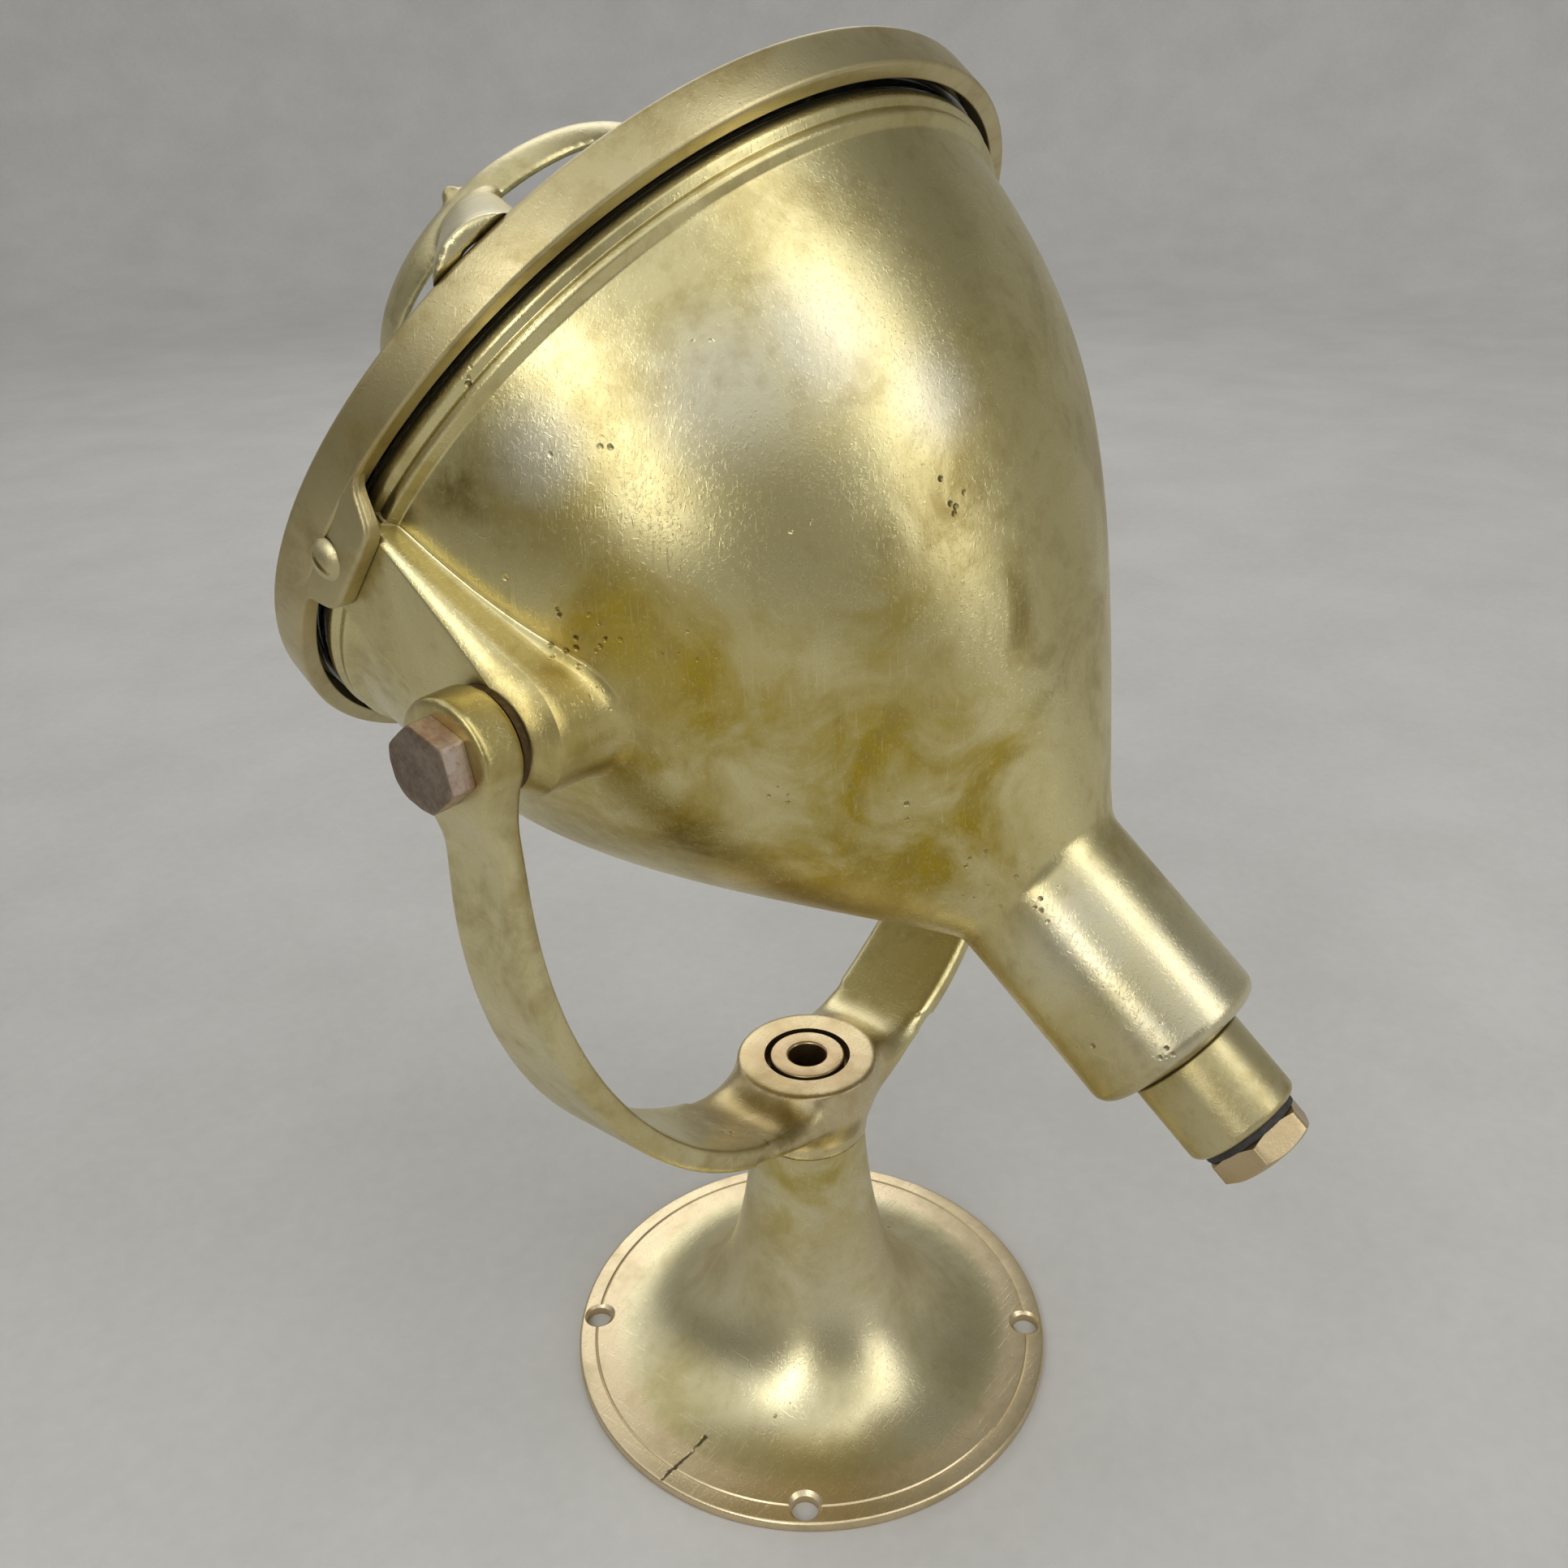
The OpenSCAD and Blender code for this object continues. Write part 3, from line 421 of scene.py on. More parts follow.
def boltMaterial(name, look):
    material, tree, shader, coords = startMaterial(name, 1.0, 0.42)
    cloud = noiseOf(tree, coords, 120, 6, 0.65, 0.4)
    speck = noiseOf(tree, coords, 700, 4, 0.6)
    tone = weighOf(tree, cloud, 0.65, speck)
    side = addNode(tree, "ShaderNodeSeparateXYZ", {0: coords}).outputs["X"]
    crown = rangeOf(tree, mathOf(tree, "ABSOLUTE", side, 0.0), look["crown"] - 0.0006, look["crown"] - 0.0002)
    worn = blendOf(tree, rangeOf(tree, tone, 0.42, 0.60), look["bare"], look["copper"])
    face = blendOf(tree, crown, worn, blendOf(tree, rangeOf(tree, tone, 0.40, 0.60), look["patina"], look["umber"]))
    face = blendOf(tree, rangeOf(tree, speck, 0.60, 0.70, 0.0, 0.4), face, look["rust"])
    tree.links.new(face, shader.inputs["Base Color"])
    tree.links.new(rangeOf(tree, tone, 0.35, 0.65, 0.34, 0.55), shader.inputs["Roughness"])
    bump = addNode(tree, "ShaderNodeBump", {"Strength": 0.25, "Distance": 0.0004, "Height": tone})
    tree.links.new(bump.outputs[0], shader.inputs["Normal"])
    return material


# the crown is the outer face of the head, in metres from the middle
boltSteel = {"bare": colour(0.62, 0.52, 0.45), "copper": colour(0.45, 0.30, 0.21),
             "patina": colour(0.31, 0.245, 0.185), "umber": colour(0.20, 0.15, 0.11),
             "rust": colour(0.30, 0.13, 0.06), "crown": 0.1257}
boltFinish = boltMaterial("bolt steel", boltSteel)


def plainMaterial(name, metallic, rough, scale, bump, light, deep):
    # a quiet finish for seals, ceramic and wire, still with its own grain
    material, tree, shader, coords = startMaterial(name, metallic, rough)
    cloud = noiseOf(tree, coords, scale, 5, 0.6)
    speck = noiseOf(tree, coords, scale * 9, 3, 0.6)
    tone = weighOf(tree, cloud, 0.6, speck)
    tree.links.new(blendOf(tree, rangeOf(tree, tone, 0.38, 0.62), light, deep), shader.inputs["Base Color"])
    tree.links.new(rangeOf(tree, speck, 0.3, 0.7, rough - 0.05, rough + 0.07), shader.inputs["Roughness"])
    grain = addNode(tree, "ShaderNodeBump", {"Strength": bump, "Distance": 0.0003, "Height": speck})
    tree.links.new(grain.outputs[0], shader.inputs["Normal"])
    return material


quietLooks = {
    # finish: metallic, roughness, grain scale, bump, light and deep colour
    "dark rubber": (0.0, 0.72, 90, 0.3, colour(0.05, 0.048, 0.042), colour(0.025, 0.024, 0.02)),
    "silvered dish": (1.0, 0.12, 30, 0.02, colour(0.86, 0.86, 0.85), colour(0.78, 0.78, 0.76)),
    "steel wire": (1.0, 0.35, 200, 0.1, colour(0.55, 0.54, 0.52), colour(0.42, 0.41, 0.39)),
    "porcelain": (0.0, 0.22, 60, 0.03, colour(0.82, 0.80, 0.74), colour(0.74, 0.71, 0.64)),
    "dark bronze": (1.0, 0.5, 120, 0.2, colour(0.16, 0.10, 0.05), colour(0.07, 0.045, 0.02)),
    "front glass": (0.0, 0.07, 25, 0.01, colour(0.95, 0.98, 0.97), colour(0.90, 0.95, 0.93)),
    "lamp glass": (0.0, 0.09, 60, 0.01, colour(0.97, 0.96, 0.92), colour(0.93, 0.92, 0.87)),
}
rubberFinish, silverFinish, wireFinish, porcelainFinish, bronzeFinish, glassFinish, globeFinish = (
    plainMaterial(name, *look) for name, look in quietLooks.items())
for finish in (glassFinish, globeFinish):
    finish.node_tree.nodes["Principled BSDF"].inputs["Transmission Weight"].default_value = 1.0
globeFinish.node_tree.nodes["Principled BSDF"].inputs["IOR"].default_value = 1.1
print("finishes mixed")

# pedestal
pedestal = {
    "flangeRadius": 80.0, "flangeThick": 3.5, "bandTop": 4.3, "footRadius": 66.5, "scribeRadius": 74.0,
    "neckRadius": 17.8, "neckTop": 91.0, "footBend": (35.9, 7.0), "neckBend": (22.0, 30.0), "wall": 4.5,
    "solidFrom": 58.0, "bore": 8.05,
    "holeRadius": 4.25, "holeTurn": 35.4, "holeCount": 4, "sinkRadius": 5.6, "segments": 176,
}


def makePedestal(p):
    outer = bezierPoints((p["footRadius"], p["bandTop"]), p["footBend"], p["neckBend"],
                         (p["neckRadius"], p["neckTop"]), 56)
    inner = []
    for (r0, z0), (r1, z1) in zip(outer, outer[1:]):
        along = Vector((r1 - r0, z1 - z0)).normalized()
        r, z = (r0 + r1) / 2 - along.y * p["wall"], (z0 + z1) / 2 + along.x * p["wall"]
        if 0.0 < z < p["solidFrom"]:
            inner.append((r, z))
    slope = (p["bandTop"] - p["flangeThick"]) / (p["flangeRadius"] - p["footRadius"])
    groove = p["flangeThick"] + slope * (p["flangeRadius"] - p["scribeRadius"])
    rim = roundedLine([(inner[0][0] + 3, 0, 0), (p["flangeRadius"], 0, 0.5),
                       (p["flangeRadius"], p["flangeThick"], 1.1), (p["scribeRadius"] + 0.5, groove, 0.15),
                       (p["scribeRadius"], groove - 0.4, 0.1), (p["scribeRadius"] - 0.5, groove, 0.15),
                       (p["footRadius"] + 3, p["bandTop"] - slope * 3, 0)])
    profile = rim + outer + [(p["bore"], p["neckTop"]), (p["bore"], p["solidFrom"]), (inner[-1][0], p["solidFrom"])]
    profile += inner[::-1]
    body = turned("pedestalCasting", profile, p["segments"])
    cut = bmesh.new()
    for k in range(p["holeCount"]):
        hole = bmesh.new()
        spinProfile(hole, [(0, -2), (p["holeRadius"], -2), (p["holeRadius"], groove - 0.9),
                           (p["sinkRadius"], groove + 0.25), (p["sinkRadius"] + 1, 8), (0, 8)], 40)
        cleanMesh(hole)
        turn = turnBy(p["holeTurn"] + 90 * k, "Z") @ moveBy(p["scribeRadius"], 0, 0)
        bmesh.ops.transform(hole, matrix=turn, verts=hole.verts)
        pour(cut, hole)
    carve(body, looseObject(cut, "holes"))
    return settle(body, toMetres, footFinish, "base", ["pedestal"], 30)


makePedestal(pedestal)
print("pedestal made")

# pivot bolt in the boss
pivotBolt = {"headRadius": 11.4, "top": 118.4, "under": 113.4, "shank": 8.0, "bore": 5.8, "end": 45.0,
             "segments": 72}


def makePivotBolt(p):
    profile = roundedLine([(p["bore"], p["end"], 0), (p["shank"], p["end"], 0.6), (p["shank"], p["under"], 0),
                           (p["headRadius"], p["under"], 0), (p["headRadius"], p["top"], 0.5),
                           (p["bore"], p["top"], 0.8)], True)
    return settle(turned("pivotBolt", profile, p["segments"]), toMetres, yokeFinish, "base",
                  ["pivot_bolt"])


makePivotBolt(pivotBolt)
print("pivot bolt made")

# yoke: strap, boss and eyes melted into one casting
yoke = {
    "armX": 115.7, "thick": 7.0, "sideOffset": 21.0, "sideRadius": 136.7, "sideHeight": 230.6,
    "bottomRadius": 107.0, "bottomHeight": 209.6, "eyeHalf": 9.5, "footHalf": 17.0, "waist": 247.6,
    "eyeRadius": 13.2, "eyeIn": 108.7, "eyeOut": 119.4, "edge": 2.3, "neckTop": 91.0, "bossTop": 118.4,
    "bossRadius": 21.8, "collarRadius": 18.5, "bore": 8.06, "headBore": 13.2, "headDepth": 5.0, "eyeBore": 5.05,
    "eyeEdge": 0.9, "flare": 1.8, "saddle": 15.0, "saddleHalf": 18.4, "shoulder": 3.4, "saddleFall": 0.7,
    "voxel": 0.72, "rounds": 5, "fillet": 60,
    "eyeSwell": 2.2, "swellFrom": 245.0, "swellOver": 13.0, "growFrom": 239.5, "growOver": 17.0,
    "flareFrom": 38.0, "flareOver": 20.0, "skirtReach": 9.5, "skirtFoot": (19.0, 98.0), "skirtTop": 109.0,
    "softReach": 46.0, "softFrom": 96.0, "softTo": 117.4, "flareBelow": 130.0, "shoulderFrom": 12.0,
    "collarTop": 96.5, "bossFrom": 105.0, "saddleFoot": 108.0, "skirtBox": (70, 35, 40), "skirtMiddle": 106.0,
}


def easeOf(t):
    t = min(1.0, max(0.0, t))
    return t * t * (3 - 2 * t)


def strapStations(p):
    # outer line of the left arm from the eye down to the middle, as (point, inward direction)
    stations = []
    for i in range(16):
        z = trunnionHeight - (trunnionHeight - p["sideHeight"]) * i / 15
        stations.append((Vector((-p["armX"], 0, z)), Vector((1, 0, 0))))
    arcs = ((p["sideOffset"], p["sideHeight"], p["sideRadius"], 180, 225, 26),
            (0, p["bottomHeight"], p["bottomRadius"], 225, 270, 26))
    for x0, z0, radius, start, end, count in arcs:
        for x, z in arcPoints(x0, z0, radius, start, end, count)[1:]:
            stations.append((Vector((x, 0, z)), Vector((x0 - x, 0, z0 - z)).normalized()))
    mirrored = [(Vector((-o.x, 0, o.z)), Vector((-n.x, 0, n.z))) for o, n in stations[-2::-1]]
    return stations + mirrored


def makeYoke(p):
    bm = bmesh.new()
    rings = []
    for outer, inward in strapStations(p):
        z = outer.z
        half = p["eyeHalf"] + (p["footHalf"] - p["eyeHalf"]) * (p["waist"] - z) / (p["waist"] - p["bossTop"])
        half = min(max(half, p["eyeHalf"]), p["footHalf"])
        # swells into the eye, widens into the boss and thickens outwards
        half += p["eyeSwell"] * max(0.0, min(1.0, (z - p["swellFrom"]) / p["swellOver"])) ** 2
        if z < p["flareBelow"]:
            half += p["flare"] * easeOf((p["flareFrom"] - abs(outer.x)) / p["flareOver"])
        grow = (p["eyeOut"] - p["armX"]) * easeOf((z - p["growFrom"]) / p["growOver"])
        low, high = -grow, p["thick"]
        section = roundedLine([(-half, low, p["edge"]), (half, low, p["edge"]), (half, high, p["edge"]),
                               (-half, high, p["edge"])], True, 4)
        rings.append([outer + inward * n + Vector((0, y, 0)) for y, n in section])
    sweepRings(bm, rings)
    # eyes
    for side in (-1, 1):
        eye = bmesh.new()
        spinProfile(eye, roundedLine([(0, p["eyeIn"], 0), (p["eyeRadius"], p["eyeIn"], 1.6),
                                      (p["eyeRadius"], p["eyeOut"], p["eyeEdge"]), (0, p["eyeOut"], 0)]), 64, False)
        cleanMesh(eye)
        turn = moveBy(0, 0, trunnionHeight) @ turnBy(90 * side, "Y")
        bmesh.ops.transform(eye, matrix=turn, verts=eye.verts)
        pour(bm, eye)
    # boss with its collar
    spinProfile(bm, roundedLine([(0, p["neckTop"] + 0.1, 0), (p["collarRadius"], p["neckTop"] + 0.1, 0.5),
                                 (p["collarRadius"] + 0.3, p["collarTop"], 4), (p["bossRadius"], p["bossFrom"], 6),
                                 (p["bossRadius"], p["bossTop"], 1.0), (0, p["bossTop"], 0)]), 96, False)
    cleanMesh(bm)
    body = looseObject(bm, "yokeCasting")
    # saddles that carry the strap up to the boss's top edge and down into its collar
    cove = bmesh.new()
    far = p["bossRadius"] + p["saddle"]
    inside = p["bottomRadius"] - p["thick"]
    crest = p["bottomHeight"] - math.sqrt(inside ** 2 - far ** 2)
    climb = far / math.sqrt(inside ** 2 - far ** 2)
    for side in (-1, 1):
        rings = []
        for j in range(19):
            y = p["saddleHalf"] * (j / 9 - 1)
            near = math.sqrt(p["bossRadius"] ** 2 - y * y) - 0.5
            span = far - near
            ring = []
            for i in range(21):
                k = i / 20
                z = ((2 * k ** 3 - 3 * k * k + 1) * (p["bossTop"] - 0.6)
                     - (k ** 3 - 2 * k * k + k) * span * p["saddleFall"]
                     + (3 * k * k - 2 * k ** 3) * crest + (k ** 3 - k * k) * span * climb)
                outside = (abs(y) - p["shoulderFrom"]) / (p["saddleHalf"] - p["shoulderFrom"])
                z -= p["shoulder"] * max(0.0, outside) ** 2
                ring.append(Vector((side * (near + span * k), y, z)))
            ring += [Vector((side * (far + 1), y, crest - 4)), Vector((side * (near - 2), y, p["saddleFoot"]))]
            rings.append(ring)
        sweepRings(cove, rings)
    cleanMesh(cove)
    wedge = looseObject(cove, "wedge")
    out = p["bossRadius"] + p["skirtReach"]
    footRadius, footHeight = p["skirtFoot"]
    belly = p["bottomHeight"] - math.sqrt(p["bottomRadius"] ** 2 - out ** 2)
    low = [(out - (out - footRadius) * k / 14,
            belly + 0.4 - (belly - footHeight) * (k / 14) ** 2) for k in range(15)]
    lump = turned("skirt", [(0, p["skirtTop"]), (out, p["skirtTop"])] + low + [(0, footHeight)], 96, False)
    limit = bmesh.new()
    box = moveBy(0, 0, p["skirtMiddle"]) @ Matrix.Diagonal((*p["skirtBox"], 1))
    bmesh.ops.create_cube(limit, size=1.0, matrix=box)
    carve(lump, looseObject(limit, "limit"), "INTERSECT")
    join = bmesh.new()
    join.from_mesh(body.data)
    join.from_mesh(lump.data)
    join.from_mesh(wedge.data)
    join.to_mesh(body.data)
    join.free()
    bpy.data.objects.remove(lump)
    bpy.data.objects.remove(wedge)
    fuse(body, p["voxel"], p["rounds"])
    # the strap runs into the boss with generous cast fillets
    soften(body, p["fillet"], lambda q: abs(q.x) < p["softReach"] and p["softFrom"] < q.z < p["softTo"])
    seat = p["bossTop"] - p["headDepth"]
    carve(body, turned("bore", [(0, 80), (p["bore"], 80), (p["bore"], seat), (p["headBore"], seat),
                                (p["headBore"], 150), (0, 150)], 64, False))
    pin = bmesh.new()
    bmesh.ops.create_cone(pin, cap_ends=True, segments=48, radius1=p["eyeBore"], radius2=p["eyeBore"], depth=300,
                          matrix=moveBy(0, 0, trunnionHeight) @ turnBy(90, "Y"))
    carve(body, looseObject(pin, "pin"))
    return settle(body, toMetres, yokeFinish, "yoke", ["yoke"], 42)


makeYoke(yoke)
print("yoke made")

# bell with its bead, tail and trunnion pads
bell = {
    "rim": 54.2, "beadRadius": 105.0, "bodyRadius": 101.5, "bodyFrom": 46.2, "wall": 4.0,
    "curve": ((101.5, 46.2), (96.0, -7.8), (76.0, -31.0), (24.0, -93.0)),
    "tailRadius": 24.0, "tailEnd": -148.0, "tailRound": 4.5, "seat": -112.0, "endWall": 11.0,
    "mouthBore": 19.2, "tailBore": 14.0, "glandBore": 11.2,
    "padFace": 106.7, "padBoss": 15.5, "padRim": 12.2, "padEdge": 0.42, "padRise": 0.00004, "padMost": 2.4,
    "draft": 0.05, "segments": 192,
}


def bellRadius(s):
    points = bell["profile"]
    for (r0, s0), (r1, s1) in zip(points, points[1:]):
        if s1 <= s <= s0:
            return r0 + (r1 - r0) * (s0 - s) / (s0 - s1)
    return points[0][0] if s > points[0][1] else points[-1][0]


def padOutline(p):
    # face of a pad as (up, station), running round from the rim by the boss and back
    line = []
    brink = p["rim"] - 0.4
    steps = 34
    for i in range(steps):
        t = i / steps
        line.append((p["padRim"] + (p["padBoss"] - p["padRim"]) * t, brink - brink * t))
    line += arcPoints(0, 0, p["padBoss"], 0, -180, 44)
    for i in range(1, steps + 1):
        t = i / steps
        line.append((-p["padBoss"] + (p["padBoss"] - p["padRim"]) * t, brink * t))
    for i in range(1, 12):
        line.append((-p["padRim"] + 2 * p["padRim"] * i / 12, brink))
    return line


def padRings(p, side):
    outline = [Vector(q) for q in padOutline(p)]
    total = len(outline)
    sections = []
    for i, here in enumerate(outline):
        along = outline[(i + 1) % total] - outline[i - 1]
        out = Vector((-along.y, along.x)).normalized()
        if out.dot(here - Vector((0, 20))) < 0:
            out = -out
        front = here.y > p["rim"] - 1

        def skin(d):
            q = here + out * d
            r = bellRadius(q.y) if q.y < p["bodyFrom"] else p["beadRadius"] - 0.6
            return math.sqrt(max(r * r - q.x * q.x, 1.0))

        # rounded edge, short wall, then a crease from which the casting blends into the bell
        depth = p["padFace"] - skin(0.0)
        edge = max(0.5, min(p["padEdge"] * (depth - 4.2) + 0.4, 5.4))
        rise = max(0.3, min(p["padRise"] * depth ** 4 + 0.4, p["padMost"], depth - edge - 0.5))
        wallTop = p["padFace"] - edge
        crease = skin(0.0) + rise
        foot = (wallTop - crease) * p["draft"]
        spread = 0.0 if front else 0.55 * rise + 0.4
        rows = [(-edge * 1.25 - 0.4, p["padFace"]), (-edge - 0.15, p["padFace"]),
                (-edge + 0.12, p["padFace"] - 0.1)]
        rows += [(-edge * 0.5, wallTop + edge * 0.5), (-0.1, wallTop + 0.12), (0.0, wallTop - 0.15)]
        for k in range(1, 5):
            rows.append((foot * k / 4, wallTop - 0.15 + (crease - wallTop + 0.15) * k / 4))
        knee = (foot + spread * 0.42, skin(foot + spread * 0.42) + rise * 0.06)
        end = (foot + spread, skin(foot + spread) + 0.06)
        for k in range(1, 11):
            t = k / 10
            rows.append(tuple((1 - t) ** 2 * a + 2 * (1 - t) * t * b + t * t * c
                              for a, b, c in zip((foot, crease), knee, end)))
        rows.append((foot + spread + 0.5, skin(foot + spread + 0.5) - 0.6))
        rows.append((foot + spread * 0.5, skin(foot + spread) - 3.0))
        sections.append([(here + out * d, x) for d, x in rows])
    rings = []
    for k in range(len(sections[0])):
        rings.append([Vector((side * x, -q.x, q.y)) for q, x in (s[k] for s in sections)])
    return rings


def makeBell(p):
    body = bezierPoints(*p["curve"], 64)
    p["profile"] = body
    inner = []
    for (r0, s0), (r1, s1) in zip(body, body[1:]):
        along = Vector((r1 - r0, s1 - s0)).normalized()
        r, s = (r0 + r1) / 2 + along.y * p["wall"], (s0 + s1) / 2 - along.x * p["wall"]
        if r > p["mouthBore"] and s < p["bodyFrom"] - 1:
            inner.append((r, s))
    rim = roundedLine([(p["bodyRadius"] - p["wall"], p["rim"], 0.4), (p["beadRadius"] - 0.9, p["rim"], 0.8),
                       (p["beadRadius"] - 0.1, p["rim"] - 1.2, 0.9), (p["beadRadius"], p["rim"] - 3.2, 1.2),
                       (p["beadRadius"] - 1.3, p["rim"] - 4.6, 0.4), (p["beadRadius"] - 1.0, p["rim"] - 5.4, 0.4),
                       (p["beadRadius"] - 0.9, p["bodyFrom"] + 1.2, 1.2),
                       (p["bodyRadius"] + 0.2, p["bodyFrom"] - 0.3, 0.9),
                       (body[3][0], body[3][1], 0)])
    tail = roundedLine([(body[-3][0], body[-3][1], 0), (p["tailRadius"], p["curve"][3][1] - 0.6, 7),
                        (p["tailRadius"], p["tailEnd"], p["tailRound"]), (p["glandBore"], p["tailEnd"], 0.4),
                        (p["glandBore"], p["tailEnd"] + p["endWall"], 0)], False, 8)
    bore = [(p["tailBore"], p["tailEnd"] + p["endWall"]), (p["tailBore"], p["seat"]),
            (p["mouthBore"], p["seat"]), (p["mouthBore"], inner[-1][1])]
    profile = rim + body[4:-3] + tail + bore + inner[::-1] + [(p["bodyRadius"] - p["wall"], p["bodyFrom"])]
    bm = bmesh.new()
    spinProfile(bm, profile, p["segments"])
    for side in (-1, 1):
        sweepRings(bm, padRings(p, side))
    cleanMesh(bm)
    return settle(looseObject(bm, "bellCasting"), headPlace, bellFinish, "head", ["bell_housing"], 29)


makeBell(bell)
print("bell made")

# front ring with its two tabs
ring = {
    "back": 53.4, "front": 64.6, "radius": 111.4, "inner": 107.0, "lipInner": 97.0, "lipBack": 62.0,
    "tabInner": 106.85, "tabSkin": 111.36, "tabMiddle": 2.0, "tabEdge": 1.2, "segments": 200,
    "tabOutline": ((27, 59, 0), (27, 53.9, 0), (18.5, 53.5, 6), (12.6, 43.8, 6.5),
                   (-11.5, 43.8, 8), (-17.5, 53.5, 6), (-27, 53.9, 0), (-27, 59, 0)),
}


def makeRing(p):
    bm = bmesh.new()
    band = roundedLine([(p["inner"], p["back"], 0.5), (p["radius"], p["back"], 0.9),
                        (p["radius"], p["front"], 1.7), (p["lipInner"], p["front"], 0.9),
                        (p["lipInner"], p["lipBack"], 0.4), (p["inner"], p["lipBack"], 0.6)], True)
    spinProfile(bm, band, p["segments"])
    for side in (-1, 1):
        m = p["tabMiddle"]
        outline = roundedLine([(m + up, s, r) for up, s, r in p["tabOutline"]], True, 9)
        centre = Vector((m, 56))

        def row(inset, drop, flat):
            points = []
            for up, s in outline:
                q = Vector((up, s))
                if inset:
                    q += (centre - q).normalized() * inset
                skin = math.sqrt(max(p["tabSkin"] ** 2 - q.x * q.x, 1))
                x = flat if flat else skin - drop
                points.append(Vector((side * x, -q.x, q.y)))
            return points

        edge = p["tabEdge"]
        rows = [row(6, 0, 0), row(1.5, 0, 0)]
        for a in (0.35, 0.7, 1.05, 1.4, 1.57):
            rows.append(row(edge - edge * math.sin(a), edge - edge * math.cos(a), 0))
        rows += [row(0, 2.6, 0), row(0.0, 0, p["tabInner"]), row(6, 0, p["tabInner"])]
        sweepRings(bm, rows)
    cleanMesh(bm)
    return settle(looseObject(bm, "ringCasting"), headPlace, ringFinish, "head", ["front_ring"], 36)


makeRing(ring)
print("front ring made")

# domed tab screws
tabScrew = {"station": 51.3, "seat": 110.8, "headRadius": 5.0, "headHeight": 2.6, "shank": 2.0, "tip": 100.0,
            "slot": 1.3, "slotDepth": 1.1, "turn": 78}


def makeTabScrews(p):
    dome = (p["headRadius"] ** 2 + p["headHeight"] ** 2) / (2 * p["headHeight"])
    crown = p["seat"] + p["headHeight"] - dome
    sweep = math.degrees(math.asin(p["headRadius"] / dome))
    bm = bmesh.new()
    for side in (-1, 1):
        profile = [(0, p["tip"]), (p["shank"], p["tip"]), (p["shank"], p["seat"]),
                   (p["headRadius"] - 0.3, p["seat"] - 0.05), (p["headRadius"], p["seat"] + 0.25)]
        profile += arcPoints(0, crown, dome, 90 - sweep, 90, 12)[1:-1]
        profile.append((0, p["seat"] + p["headHeight"]))
        head = turned("head", profile, 48, False)
        slot = bmesh.new()
        place = moveBy(0, 0, p["seat"] + p["headHeight"]) @ turnBy(p["turn"], "Z")
        bmesh.ops.create_cube(slot, size=1.0,
                              matrix=place @ Matrix.Diagonal((p["slot"], 20, 2 * p["slotDepth"], 1)))
        carve(head, looseObject(slot, "slot"))
        head.data.transform(turnBy(90 * side, "Y") @ moveBy(-p["station"] * side, 0, 0))
        bm.from_mesh(head.data)
        bpy.data.objects.remove(head)
    return settle(looseObject(bm, "tabScrews"), headPlace, trimFinish, "head", ["ring_screws"], 32)


makeTabScrews(tabScrew)
print("tab screws made")

# guard: a hoop on four channel-shaped legs, melted into one casting
guard = {
    "base": 64.6, "rise": 41.7, "radius": 49.9, "width": 16.0, "slope": 54.0, "edge": 1.6, "swell": 2.4,
    "legCount": 4, "legTurn": 53.6, "legTop": (47.84, 44.53), "legSlope": 38.4, "legLength": 71.7, "legWall": 4.6,
    "legHalf": (8.6, 11.8), "legArch": (4.8, 10.0), "legBase": -2.0, "stud": 2.5, "voxel": 0.74, "rounds": 4,
    "legSwell": 2.4, "legSwellOver": 6.0,
}


def legSection(p, u):
    # arched channel across a leg as (across, outward) points, wider and taller towards the ring
    t = min(1.0, max(0.0, u / p["legLength"]))
    half = p["legHalf"][0] + (p["legHalf"][1] - p["legHalf"][0]) * t
    half += p["legSwell"] * max(0.0, 1 - max(u, 0) / p["legSwellOver"]) ** 2
    tall = p["legArch"][0] + (p["legArch"][1] - p["legArch"][0]) * t ** 0.8
    wall = p["legWall"]
    outer = arcPoints(0, 0, 1, 0, 180, 20)
    inner = arcPoints(0, 0, 1, 180, 0, 16)
    return ([(half * x, p["legBase"] + tall * y) for x, y in outer]
            + [((half - wall) * x, p["legBase"] + max(tall - wall * 0.85, 0.6) * y) for x, y in inner])


def legPoint(p, turn, u, v, h):
    fall = math.radians(p["legSlope"])
    r = p["legTop"][0] + u * math.cos(fall) + h * math.sin(fall)
    s = p["base"] + p["legTop"][1] - u * math.sin(fall) + h * math.cos(fall)
    return Vector((r * math.cos(turn) - v * math.sin(turn), r * math.sin(turn) + v * math.cos(turn), s))


